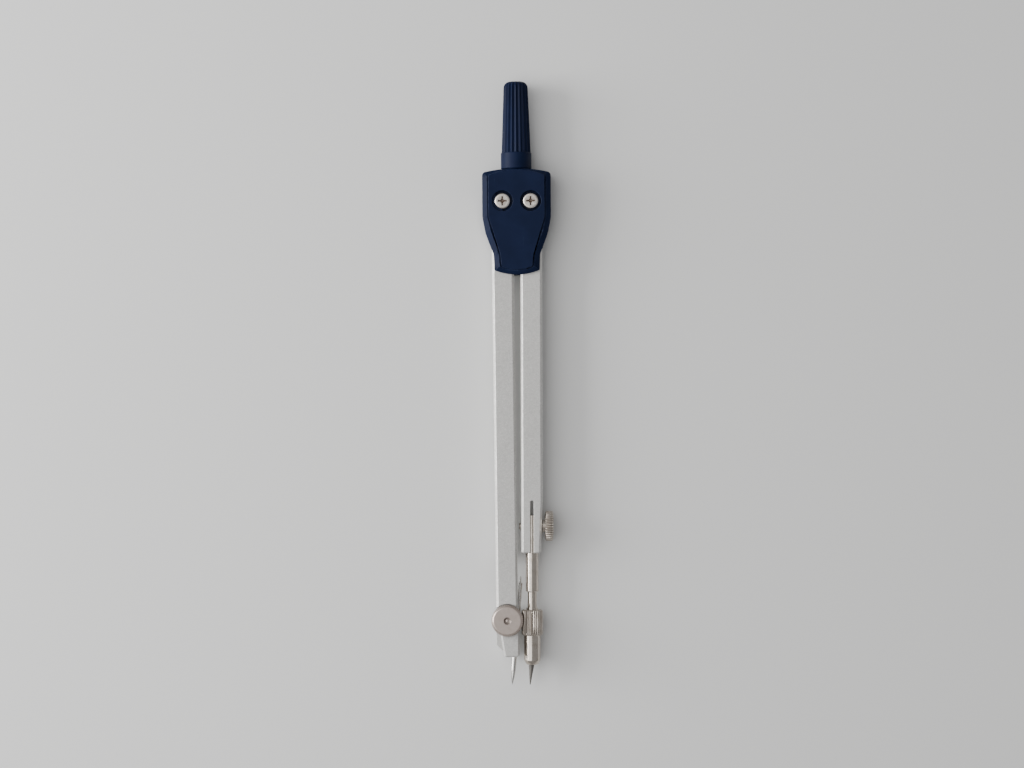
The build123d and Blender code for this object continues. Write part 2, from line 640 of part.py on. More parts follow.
def down(start, end, radius):
    """Round solid along the insert's axis, between two distances below the pivot."""
    return Pos(0, -(start + end) / 2, 0) * Rot(90, 0, 0) * Cylinder(radius, end - start)


def turned_down(profile):
    """Solid of revolution about the insert's axis from (radius, distance below the pivot) corners."""
    return Rot(90, 0, 0) * turned(profile)


def lead_leg():
    """Right leg; its end is split and bored, and a thumb screw closes it on the lead insert."""
    leg = leg_bar(RIGHT, SPLIT_TOP)
    start = bar_section(LEG_OFFSET, LEG_WIDTH, SPLIT_TOP)
    pinched = bar_section(LEG_OFFSET - CLAMP_PINCH / 2, LEG_WIDTH - CLAMP_PINCH, LEAD_LEG_REACH)
    clamp_end = loft([start, pinched], ruled=True)
    leg += chamfer(clamp_end.faces().sort_by(Axis.Y)[0].edges(), CLAMP_END_BEVEL)
    leg -= insert_frame() * down(INSERT_BORE_TOP, ALL, INSERT_BORE_RADIUS)
    split_x = (LEG_OFFSET - SPLIT_WIDTH / 2, LEG_OFFSET + SPLIT_WIDTH / 2)
    leg -= block(split_x, (-ALL, -SPLIT_TOP - SPLIT_WIDTH / 2), (0, HEAD_DEPTH))
    leg -= rod(LEG_OFFSET, -SPLIT_TOP - SPLIT_WIDTH / 2, SPLIT_WIDTH / 2, 0, HEAD_DEPTH)
    across = Pos(LEG_OFFSET, -CLAMP_SCREW_REACH, CLAMP_SCREW_Z) * Rot(0, 90, 0)
    leg -= across * rod(0, 0, CLAMP_SCREW_RADIUS + HOLE_FIT, 0, ALL)
    return leg - across * rod(0, 0, CLAMP_SCREW_RADIUS + THREAD_FIT, -ALL, 0)


def clamp_screw():
    """Knurled thumb screw across the split clamp."""
    slope = CLAMP_PINCH / (LEAD_LEG_REACH - SPLIT_TOP)
    outer = LEG_WIDTH / 2 - slope * (CLAMP_SCREW_REACH - CLAMP_NECK_RADIUS - SPLIT_TOP) + FACE_GAP
    neck_end = outer + CLAMP_NECK_LENGTH
    inner_end = -LEG_WIDTH / 2 - CLAMP_SCREW_END
    disc = knurled(
        CLAMP_DISC_RADIUS, CLAMP_KNURL_DEPTH, CLAMP_KNURLS, CLAMP_DISC_THICKNESS, CLAMP_DISC_BEVEL
    )
    screw = Pos(0, 0, neck_end) * disc
    screw += rod(0, 0, CLAMP_NECK_RADIUS, outer, neck_end)
    shank = rod(0, 0, CLAMP_SCREW_RADIUS, inner_end, outer)
    screw += chamfer(shank.edges().group_by(Axis.Z)[0], CLAMP_SCREW_BEVEL)
    return Pos(LEG_OFFSET, -CLAMP_SCREW_REACH, CLAMP_SCREW_Z) * Rot(0, 90, 0) * screw


def lead_holder():
    """Shank with a flatted tang, a thin neck, a thread and a collet split in four."""
    holder = turned_down(
        [
            (SHANK_RADIUS - SHANK_BEVEL, SHANK_TOP),
            (SHANK_RADIUS, SHANK_TOP + SHANK_BEVEL),
            (SHANK_RADIUS, SHANK_END - SHANK_BEVEL),
            (SHANK_RADIUS - SHANK_BEVEL, SHANK_END),
            (NECK_RADIUS, SHANK_END),
            (NECK_RADIUS, NECK_END),
            (HOLDER_THREAD_RADIUS, NECK_END),
            (HOLDER_THREAD_RADIUS, HOLDER_THREAD_END),
            (COLLET_RADIUS, HOLDER_THREAD_END),
            (COLLET_RADIUS, BARREL_END - BARREL_NOSE - COLLET_CONE),
            (COLLET_TIP_RADIUS, BARREL_END - BARREL_NOSE),
        ]
    )
    flat = CLAMP_SCREW_Z + CLAMP_SCREW_RADIUS + TANG_GAP - INSERT_Z
    tang_end = CLAMP_SCREW_REACH + CLAMP_SCREW_RADIUS + 2 * TANG_GAP
    holder -= block((-ALL, ALL), (-tang_end, -SHANK_TOP + 1), (-ALL, flat))
    holder -= down(LEAD_BORE_TOP, ALL, LEAD_BORE_RADIUS)
    slot = (-COLLET_SLOT / 2, COLLET_SLOT / 2)
    for turn in (45, 135):
        holder -= Rot(0, turn, 0) * block(slot, (-ALL, -COLLET_SLOT_START), (-ALL, ALL))
    return holder


def chuck_sleeve():
    """Knurled sleeve with a smooth barrel; screwed up, its nose closes the collet on the lead."""
    knurl_length = SLEEVE_KNURL_END - SLEEVE_TOP
    knurl = knurled(SLEEVE_RADIUS, SLEEVE_KNURL_DEPTH, SLEEVE_KNURLS, knurl_length, SLEEVE_BEVEL)
    sleeve = Rot(90, 0, 0) * (Pos(0, 0, SLEEVE_TOP) * knurl)
    nose_start = BARREL_END - BARREL_NOSE
    sleeve += turned_down(
        [
            (BARREL_RADIUS, SLEEVE_KNURL_END),
            (BARREL_RADIUS, nose_start),
            (BARREL_NOSE_RADIUS, BARREL_END),
        ]
    )
    thread_end = HOLDER_THREAD_END + SLEEVE_THREAD_RELIEF
    bore = turned_down(
        [
            (SLEEVE_THREAD_RADIUS, SLEEVE_TOP - 1),
            (SLEEVE_THREAD_RADIUS, thread_end),
            (SLEEVE_BORE_RADIUS, thread_end),
            (SLEEVE_BORE_RADIUS, nose_start - COLLET_CONE),
            (COLLET_TIP_RADIUS + RUNNING_FIT, nose_start),
            (LEAD_RADIUS + HOLE_FIT, BARREL_END + 1),
        ]
    )
    return sleeve - bore


def lead():
    """Graphite lead, sharpened to a long point off its centre."""
    stick = down(LEAD_TOP, LEAD_POINT_START, LEAD_RADIUS)
    start = Plane(origin=(0, -LEAD_POINT_START, 0), z_dir=(0, -1, 0)) * Circle(LEAD_RADIUS)
    tip = Plane(origin=(-LEAD_TIP_LEAN, -LEAD_TIP, 0), z_dir=(0, -1, 0)) * Circle(LEAD_TIP_RADIUS)
    return stick + loft([start, tip], ruled=True)


# ---------------------------------------------------------------- the whole compass


def parts():
    """Every piece in its place, by name."""
    left, right = place_leg(LEFT), place_leg(RIGHT)
    knee, insert = left * knee_frame(), right * insert_frame()
    pieces = {
        "front_cover": front_cover(),
        "back_cover": back_cover(),
        "handle": handle(),
        "needle_leg": left * needle_leg(),
        "needle_foot": knee * needle_foot(),
        "needle": knee * needle(),
        "knee_thumb_screw": knee * knee_screw(),
        "lead_leg": right * lead_leg(),
        "clamp_thumb_screw": right * clamp_screw(),
        "lead_holder": insert * lead_holder(),
        "chuck_sleeve": insert * chuck_sleeve(),
        "lead": insert * lead(),
    }
    for side, name in ((LEFT, "left"), (RIGHT, "right")):
        pieces[f"pivot_screw_{name}"] = pivot_screw(side)
        pieces[f"pivot_nut_{name}"] = pivot_nut(side)
        pieces[f"front_washer_{name}"] = friction_washer(side, MIDDLE + PAD_FACE - WASHER_THICKNESS)
        pieces[f"back_washer_{name}"] = friction_washer(side, MIDDLE - PAD_FACE)
    return pieces


os.makedirs("parts", exist_ok=True)
for node, shape in parts().items():
    export_step(shape, f"parts/{node}.step")
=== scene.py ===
"""Looks of a school drawing compass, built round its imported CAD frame.

The frame gives every size and place in metres. Shapes are worked in millimetres in their own
frames, with the piece's axis along +Z, and are then put in place in the row frame.
"""

import json
import logging
import math
from collections.abc import Iterable, Sequence
from dataclasses import dataclass
from enum import Enum
from typing import Any, Union

import bmesh
import bpy
from mathutils import Matrix, Vector

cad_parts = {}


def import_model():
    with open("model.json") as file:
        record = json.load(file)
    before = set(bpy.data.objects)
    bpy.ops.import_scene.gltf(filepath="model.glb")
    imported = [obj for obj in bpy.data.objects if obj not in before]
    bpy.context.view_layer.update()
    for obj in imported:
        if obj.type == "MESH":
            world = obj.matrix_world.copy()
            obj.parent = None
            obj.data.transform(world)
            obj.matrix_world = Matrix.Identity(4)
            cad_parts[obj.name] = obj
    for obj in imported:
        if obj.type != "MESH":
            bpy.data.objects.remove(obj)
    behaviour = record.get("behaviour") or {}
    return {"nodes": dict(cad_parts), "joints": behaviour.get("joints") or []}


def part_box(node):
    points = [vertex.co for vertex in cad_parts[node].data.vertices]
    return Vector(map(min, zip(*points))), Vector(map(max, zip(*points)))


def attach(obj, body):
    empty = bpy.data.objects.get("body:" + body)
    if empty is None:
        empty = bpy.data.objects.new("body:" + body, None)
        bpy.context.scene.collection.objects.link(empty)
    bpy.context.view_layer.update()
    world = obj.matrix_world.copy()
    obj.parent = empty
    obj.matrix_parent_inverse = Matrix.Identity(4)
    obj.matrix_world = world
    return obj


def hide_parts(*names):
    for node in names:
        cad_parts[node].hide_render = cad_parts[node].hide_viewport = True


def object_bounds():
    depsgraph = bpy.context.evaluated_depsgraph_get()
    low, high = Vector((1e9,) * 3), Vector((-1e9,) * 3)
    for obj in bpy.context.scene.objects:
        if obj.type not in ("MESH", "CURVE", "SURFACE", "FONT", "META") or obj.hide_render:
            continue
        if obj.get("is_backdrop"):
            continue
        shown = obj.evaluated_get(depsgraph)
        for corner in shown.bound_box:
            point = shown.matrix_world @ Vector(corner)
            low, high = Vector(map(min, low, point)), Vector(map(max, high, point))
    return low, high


LOG = logging.getLogger("compass")
MM = 0.001
EDGE_MARK = "edge_mark"
DEPTH_MARK = "depth_mark"
WELD_MM = 0.002
FLAT_ANGLE = math.radians(0.6)
SHARP_ANGLE = math.radians(28)
SHADING_ANGLE = math.radians(40)
ROUNDING_STEPS = 2

MIX_FACTOR, MIX_FIRST, MIX_SECOND, MIX_RESULT = 0, 6, 7, 2

Object = bpy.types.Object
Material = bpy.types.Material
Socket = bpy.types.NodeSocket
Vert = bmesh.types.BMVert
Triple = tuple[float, float, float]
Colour = Triple
Number = Union[float, "Signal"]


def link(made: Object) -> None:
    """Put an object into the scene."""
    bpy.context.scene.collection.objects.link(made)


class Body(Enum):
    """Bodies of the frame that pieces ride on."""

    HEAD = "head"
    NEEDLE_LEG = "needle_leg"
    NEEDLE_FOOT = "needle_foot"
    NEEDLE = "needle"
    KNEE_SCREW = "knee_thumb_screw"
    LEAD_LEG = "lead_leg"
    CLAMP_SCREW = "clamp_thumb_screw"
    LEAD_HOLDER = "lead_holder"
    CHUCK_SLEEVE = "chuck_sleeve"
    LEAD = "lead"


class Side(Enum):
    """Sides of the head, seen from the front."""

    LEFT = "left"
    RIGHT = "right"

    def hinge(self) -> str:
        """The leg hinge on that side."""
        return "needle_leg_hinge" if self is Side.LEFT else "lead_leg_hinge"


class Slot(Enum):
    """Material slots of the record."""

    NAVY_PLASTIC = "navy_plastic"
    SILVER_PAINT = "silver_paint"
    NICKEL = "nickel"
    WASHER_NYLON = "washer_nylon"
    NEEDLE_STEEL = "needle_steel"
    GRAPHITE = "graphite"


# ---- frame


@dataclass(frozen=True)
class Line:
    """A directed line in the row frame, in metres."""

    point: Vector
    direction: Vector

    def matrix(self) -> Matrix:
        """Matrix from millimetres, with +Z along the line, to the row frame in metres."""
        turn = self.direction.to_track_quat("Z", "Y").to_matrix().to_4x4()
        return Matrix.Translation(self.point) @ turn @ Matrix.Scale(MM, 4)

    def at(self, distance: float) -> "Line":
        """The same line, started that many millimetres further along."""
        return Line(self.point + self.direction.normalized() * distance * MM, self.direction)


@dataclass
class CompassFrame:
    """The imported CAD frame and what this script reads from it."""

    nodes: dict[str, Object]
    joints: dict[str, dict[str, Any]]
    lowest: Vector
    highest: Vector

    @classmethod
    def load(cls) -> "CompassFrame":
        """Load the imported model.

        Returns:
            The frame, with its overall box.
        """
        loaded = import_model()
        lowest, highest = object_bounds()
        joints = {joint["name"]: joint for joint in loaded["joints"]}
        return cls(loaded["nodes"], joints, Vector(lowest), Vector(highest))

    def axis(self, joint_name: str) -> Line:
        """Axis of a hinge in the row frame."""
        joint = self.joints[joint_name]
        return Line(Vector(joint["pos_m"]), Vector(joint["axis"]).normalized())


# ---- shader graph


class Signal:
    """A number that varies over a surface; arithmetic on it adds Math nodes."""

    def __init__(self, graph: "Graph", socket: Socket) -> None:
        """Wrap a socket of a graph."""
        self.graph = graph
        self.socket = socket

    def math(self, operation: str, *others: Number) -> "Signal":
        """Add a Math node.

        Args:
            operation: The Math node's operation.
            others: The values or signals of its further inputs.

        Returns:
            The result as a signal.
        """
        sockets = {index: value for index, value in enumerate((self, *others))}
        made = self.graph.node("ShaderNodeMath", {"operation": operation}, sockets)
        return Signal(self.graph, made.outputs[0])

    def __add__(self, other: Number) -> "Signal":
        """Sum."""
        return self.math("ADD", other)

    __radd__ = __add__

    def __sub__(self, other: Number) -> "Signal":
        """Difference."""
        return self.math("SUBTRACT", other)

    def __rsub__(self, other: Number) -> "Signal":
        """Difference, reflected."""
        return (self * -1.0).math("ADD", other)

    def __mul__(self, other: Number) -> "Signal":
        """Product."""
        return self.math("MULTIPLY", other)

    __rmul__ = __mul__

    def step(self, low: float, high: float) -> "Signal":
        """Fade from 0 to 1 with smooth ends.

        Args:
            low: Value up to which the result is 0.
            high: Value from which it is 1.

        Returns:
            The fade as a signal.
        """
        settings = {"interpolation_type": "SMOOTHSTEP"}
        sockets = {"Value": self, "From Min": low, "From Max": high}
        made = self.graph.node("ShaderNodeMapRange", settings, sockets)
        return Signal(self.graph, made.outputs["Result"])


class Graph:
    """Node tree of one material, with a Principled shader at its end."""

    def __init__(self, name: str) -> None:
        """Start a material.

        Args:
            name: The material's name.
        """
        self.material = bpy.data.materials.new(name)
        self.material.use_nodes = True
        self.tree = self.material.node_tree
        self.shader = self.tree.nodes["Principled BSDF"]
        self.place = self.node("ShaderNodeTexCoord").outputs["Object"]

    def node(
        self,
        kind: str,
        settings: dict[str, Any] | None = None,
        sockets: dict[str | int, Any] | None = None,
    ) -> bpy.types.Node:
        """Add a node.

        Args:
            kind: The node's type.
            settings: Its properties.
            sockets: Values, signals or sockets for its inputs.

        Returns:
            The new node.
        """
        made = self.tree.nodes.new(kind)
        for name, value in (settings or {}).items():
            setattr(made, name, value)
        for key, value in (sockets or {}).items():
            self.feed(made.inputs[key], value)
        return made

    def feed(self, socket: Socket, value: Any) -> None:
        """Link a signal or socket to an input, or set the input's own value.

        Args:
            socket: The input.
            value: What it gets.
        """
        if isinstance(value, Signal):
            self.tree.links.new(value.socket, socket)
        elif isinstance(value, Socket):
            self.tree.links.new(value, socket)
        elif isinstance(value, tuple) and len(value) == 3 and socket.type == "RGBA":
            socket.default_value = (*value, 1.0)
        else:
            socket.default_value = value

    def noise(self, size: float, detail: float = 2.0, place: Any = None) -> Signal:
        """Noise between about 0 and 1.

        Args:
            size: Size of its features in millimetres.
            detail: Number of finer octaves.
            place: Coordinates, or None for the object's own.

        Returns:
            The noise as a signal.
        """
        sockets = {"Vector": place or self.place, "Scale": 1 / (size * MM), "Detail": detail}
        made = self.node("ShaderNodeTexNoise", None, sockets)
        return Signal(self, made.outputs["Fac"])

    def cells(self, size: float) -> Signal:
        """Cells with a random value each.

        Args:
            size: Size of a cell in millimetres.

        Returns:
            The values as a signal.
        """
        sockets = {"Vector": self.place, "Scale": 1 / (size * MM)}
        made = self.node("ShaderNodeTexVoronoi", None, sockets)
        split = self.node("ShaderNodeSeparateColor", None, {"Color": made.outputs["Color"]})
        return Signal(self, split.outputs[0])

    def stretched(self, factors: Triple) -> Socket:
        """Object coordinates scaled by a factor along each axis."""
        sockets = {"Vector": self.place, "Scale": factors}
        return self.node("ShaderNodeMapping", None, sockets).outputs["Vector"]

    def mark(self, name: str) -> Signal:
        """A mark that the mesh carries: rounded edges, or depth in grooves and recesses."""
        made = self.node("ShaderNodeAttribute", {"attribute_name": name})
        return Signal(self, made.outputs["Fac"])

    def round_axis(self, line: Line) -> tuple[Signal, Signal]:
        """Distance from a line and distance along it.

        Args:
            line: The line, in the row frame.

        Returns:
            Both distances in metres.
        """
        turn = line.direction.to_track_quat("Z", "Y").to_matrix().transposed()
        shift = -(turn @ line.point)
        sockets = {"Vector": self.place, "Location": shift, "Rotation": turn.to_euler()}
        local = self.node("ShaderNodeMapping", None, sockets).outputs["Vector"]
        parts = self.node("ShaderNodeSeparateXYZ", None, {"Vector": local})
        x, y, z = (Signal(self, parts.outputs[index]) for index in range(3))
        return (x * x + y * y).math("SQRT"), z

    def pair(self, first: Signal, second: Signal) -> Socket:
        """Coordinates made of two signals."""
        sockets = {"X": first, "Y": second}
        return self.node("ShaderNodeCombineXYZ", None, sockets).outputs["Vector"]

    def mix(self, factor: Number, first: Any, second: Any) -> Socket:
        """Blend of two colours, from the first at a factor of 0 to the second at 1."""
        sockets = {MIX_FACTOR: factor, MIX_FIRST: first, MIX_SECOND: second}
        return self.node("ShaderNodeMix", {"data_type": "RGBA"}, sockets).outputs[MIX_RESULT]

    def bump(self, height: Signal, depth: float, under: Any = None) -> Socket:
        """Bumped normal.

        Args:
            height: Height between 0 and 1.
            depth: Height in millimetres of a full step.
            under: A normal that this bump goes on top of.

        Returns:
            The normal's socket.
        """
        sockets = {"Height": height, "Distance": depth * MM, "Strength": 1.0}
        if under is not None:
            sockets["Normal"] = under
        return self.node("ShaderNodeBump", None, sockets).outputs["Normal"]

    def finish(self, **sockets: Any) -> Material:
        """Feed the Principled shader and return the material.

        Args:
            sockets: Inputs of the shader, with underscores for the spaces in their names.

        Returns:
            The finished material.
        """
        for name, value in sockets.items():
            self.feed(self.shader.inputs[name.replace("_", " ")], value)
        return self.material


# ---- finishes


@dataclass(frozen=True)
class NavyPlastic:
    """Dark navy moulded plastic: fine mould texture, handling marks, edges rubbed paler."""

    base: Colour = (0.0042, 0.0088, 0.031)
    cloud: Colour = (0.0058, 0.0115, 0.039)
    rubbed: Colour = (0.022, 0.034, 0.080)
    grain: float = 0.16
    grain_depth: float = 0.008
    reflection: float = 0.10
    roughness: float = 0.44
    scuff_share: float = 0.35
    rub_share: float = 0.7

    def material(self) -> Material:
        """Make the node material.

        Returns:
            The plastic as a material.
        """
        graph = Graph("navy plastic")
        clouds = graph.noise(5.0, 3.0).step(0.35, 0.7)
        grain = graph.noise(self.grain, 2.0)
        scratches = graph.noise(0.25, 3.0, graph.stretched((1.0, 0.06, 1.0))).step(0.62, 0.74)
        patches = graph.noise(3.0, 2.0).step(0.5, 0.7)
        scuffs = scratches * patches
        rub = graph.mark(EDGE_MARK) * graph.noise(0.7, 3.0).step(0.35, 0.62)
        colour = graph.mix(clouds, self.base, self.cloud)
        colour = graph.mix(scuffs * self.scuff_share, colour, self.rubbed)
        colour = graph.mix(rub * self.rub_share, colour, self.rubbed)
        roughness = self.roughness + clouds * 0.07 + grain * 0.06 - rub * 0.10 + scuffs * 0.10
        normal = graph.bump(grain, self.grain_depth)
        normal = graph.bump(scuffs, self.grain_depth * 0.3, normal)
        return graph.finish(
            Base_Color=colour,
            Roughness=roughness,
            Specular_IOR_Level=self.reflection,
            Normal=normal,
        )


@dataclass(frozen=True)
class SilverPaint:
    """Satin silver paint: fine bright flakes in a pale grey coat, slightly mottled."""

    coat: Colour = (0.56, 0.552, 0.53)
    flake: Colour = (0.76, 0.75, 0.73)
    hollow: Colour = (0.42, 0.412, 0.395)
    bright_edge: Colour = (0.84, 0.835, 0.82)
    flake_size: float = 0.16
    flake_share: float = 0.55
    hollow_share: float = 0.40
    drift_share: float = 0.10
    speck_share: float = 0.30
    rub_share: float = 0.65
    roughness: float = 0.50
    metallic: float = 0.35
    peel_depth: float = 0.012

    def material(self) -> Material:
        """Make the node material.

        Returns:
            The paint as a material.
        """
        graph = Graph("silver paint")
        flakes = graph.cells(self.flake_size)
        mottle = graph.noise(0.55, 3.0)
        drift = graph.noise(7.0, 2.0).step(0.35, 0.7)
        peel = graph.noise(0.32, 2.0)
        specks = graph.noise(0.22, 1.0).step(0.70, 0.76)
        rub = graph.mark(EDGE_MARK) * graph.noise(0.9, 3.0).step(0.30, 0.60)
        hollows = (1.0 - mottle).step(0.45, 0.75)
        colour = graph.mix(flakes.step(0.45, 1.0) * self.flake_share, self.coat, self.flake)
        colour = graph.mix(hollows * self.hollow_share, colour, self.hollow)
        colour = graph.mix(drift * self.drift_share, colour, self.flake)
        colour = graph.mix(specks * self.speck_share, colour, self.hollow)
        colour = graph.mix(rub * self.rub_share, colour, self.bright_edge)
        roughness = self.roughness - flakes * 0.14 + mottle * 0.10 - rub * 0.15
        normal = graph.bump(peel, self.peel_depth)
        normal = graph.bump(flakes, self.peel_depth * 0.2, normal)
        metallic = self.metallic + flakes * 0.25
        return graph.finish(Base_Color=colour, Roughness=roughness, Metallic=metallic, Normal=normal)


@dataclass(frozen=True)
class TurnedMetal:
    """Metal turned on a lathe round a line: fine rings, smudges, and painted shade that darkens its
    recesses and knurl grooves.
    """

    name: str
    line: Line
    metal: Colour = (0.60, 0.545, 0.485)
    tarnish: Colour = (0.34, 0.28, 0.22)
    bright_edge: Colour = (0.90, 0.87, 0.83)
    # painted shade: the dark brown that recesses and knurl grooves are darkened towards
    recess_shade: Colour = (0.075, 0.055, 0.042)
    smoothness: float = 0.22
    ring_width: float = 0.12
    ring_depth: float = 0.0005
    tarnish_share: float = 0.35
    spot_share: float = 0.35
    band_share: float = 0.18
    recess_shade_share: float = 0.75
    rub_share: float = 0.7

    def material(self) -> Material:
        """Make the node material.

        Returns:
            The metal as a material.
        """
        graph = Graph(self.name)
        across, along = graph.round_axis(self.line)
        rings = graph.noise(self.ring_width, 2.0, graph.pair(across, along))
        bands = graph.noise(self.ring_width * 6, 2.0, graph.pair(across, along))
        smudges = graph.noise(1.6, 3.0).step(0.40, 0.72)
        spots = graph.noise(0.35, 2.0).step(0.66, 0.76)
        rub = graph.mark(EDGE_MARK) * graph.noise(0.5, 2.0).step(0.25, 0.55)
        colour = graph.mix(smudges * self.tarnish_share, self.metal, self.tarnish)
        colour = graph.mix(spots * self.spot_share, colour, self.tarnish)
        colour = graph.mix(bands.step(0.45, 0.75) * self.band_share, colour, self.tarnish)
        colour = graph.mix(rub * self.rub_share, colour, self.bright_edge)
        # Painted shade: where the depth mark is high (recesses, knurl grooves, dimples) the colour
        # darkens towards the shade colour, and the surface turns rougher and less metallic.
        patchy = graph.noise(0.4, 2.0).step(0.20, 0.60) * 0.4 + 0.6
        recess_shade_mask = graph.mark(DEPTH_MARK).step(0.15, 0.95) * patchy * self.recess_shade_share
        colour = graph.mix(recess_shade_mask, colour, self.recess_shade)
        roughness = self.smoothness + smudges * 0.12 + rings * 0.06 + spots * 0.12 - rub * 0.06
        roughness = roughness + recess_shade_mask * 0.35
        normal = graph.bump(rings, self.ring_depth)
        metallic = 1.0 - recess_shade_mask * 0.7
        return graph.finish(Base_Color=colour, Roughness=roughness, Metallic=metallic, Normal=normal)


@dataclass(frozen=True)
class Graphite:
    """Compressed graphite: dark grey with a soft sheen and sharpening marks towards the point."""

    line: Line
    base: Colour = (0.085, 0.078, 0.070)
    sheen: Colour = (0.25, 0.232, 0.212)
    grain_share: float = 0.5
    smear_share: float = 0.35
    mark_depth: float = 0.006
    grain_depth: float = 0.004

    def material(self) -> Material:
        """Make the node material.

        Returns:
            The lead as a material.
        """
        graph = Graph("graphite")
        across, along = graph.round_axis(self.line)
        marks = graph.noise(0.09, 3.0, graph.pair(across, along))
        grain = graph.noise(0.06, 2.0)
        smears = graph.noise(0.8, 2.0).step(0.40, 0.70)
        colour = graph.mix(grain.step(0.35, 0.75) * self.grain_share, self.base, self.sheen)
        colour = graph.mix(smears * self.smear_share, colour, self.sheen)
        roughness = 0.36 + marks * 0.12 + grain * 0.12
        normal = graph.bump(marks, self.mark_depth, graph.bump(grain, self.grain_depth))
        metallic = 0.15 + smears * 0.35
        return graph.finish(Base_Color=colour, Roughness=roughness, Metallic=metallic, Normal=normal)


@dataclass(frozen=True)
class WasherNylon:
    """Natural nylon: milky, faintly cloudy, with a fine moulded skin."""

    base: Colour = (0.70, 0.67, 0.58)
    cloud: Colour = (0.56, 0.53, 0.45)
    skin_depth: float = 0.005

    def material(self) -> Material:
        """Make the node material.

        Returns:
            The nylon as a material.
        """
        graph = Graph("washer nylon")
        clouds = graph.noise(1.2, 3.0).step(0.35, 0.7)
        skin = graph.noise(0.1, 2.0)
        colour = graph.mix(clouds, self.base, self.cloud)
        roughness = 0.42 + skin * 0.12
        normal = graph.bump(skin, self.skin_depth)
        return graph.finish(Base_Color=colour, Roughness=roughness, Normal=normal)


@dataclass(frozen=True)
class FloorSheet:
    """Plain pale floor."""

    colour: Colour = (0.80, 0.80, 0.79)

    def material(self) -> Material:
        """The floor as a plain material."""
        return Graph("floor").finish(Base_Color=self.colour, Roughness=0.8)


# ---- shapes


@dataclass(frozen=True)
class Station:
    """One ring of a turning, in millimetres.

    The ring has a height, a radius and the depth of its grooves; its own depth, from 0 to 1,
    says how far inside a recess a plain ring lies.
    """

    height: float
    radius: float
    groove: float = 0.0
    depth: float = 0.0


Stations = tuple[Station, ...]


def rounded_corner(centre: tuple[float, float], radius: float, steps: int) -> list[Station]:
    """Stations round a quarter circle, from its side to its top.

    Args:
        centre: The circle's centre as (radius, height).
        radius: The circle's own radius.
        steps: Number of chords.

    Returns:
        The stations in order.
    """
    stations = []
    for index in range(steps + 1):
        angle = math.pi / 2 * index / steps
        height = centre[1] + radius * math.sin(angle)
        stations.append(Station(height, centre[0] + radius * math.cos(angle)))
    return stations


def around(height: float, radius: float, offsets: Stations, groove: float = 0.0) -> list[Station]:
    """Stations given as offsets from one corner of a profile.

    Args:
        height: The corner's height.
        radius: The corner's radius.
        offsets: The offsets, each with its share of the groove.
        groove: Full depth of the grooves.

    Returns:
        The stations in order.
    """
    return [
        Station(height + item.height, radius + item.radius, groove * item.groove, item.depth)
        for item in offsets
    ]


@dataclass(frozen=True)
class Recess:
    """A recess cut down from a surface, in millimetres in the row frame."""

    centre: Vector
    radius: float
    depth: float
    rim_mark: float = 0.5
    start: float = -0.01
    end: float = 1.2

    def mark(self, at: Vector) -> float:
        """Depth mark of a point.

        Args:
            at: The point.

        Returns:
            0 outside the recess, and from the rim's mark up to 1 inside it.
        """
        drop = (self.centre.z - at.z) / self.depth
        near = (at.xy - self.centre.xy).length < self.radius
        if near and self.start < drop < self.end:
            return min(1.0, self.rim_mark + drop)
        return 0.0


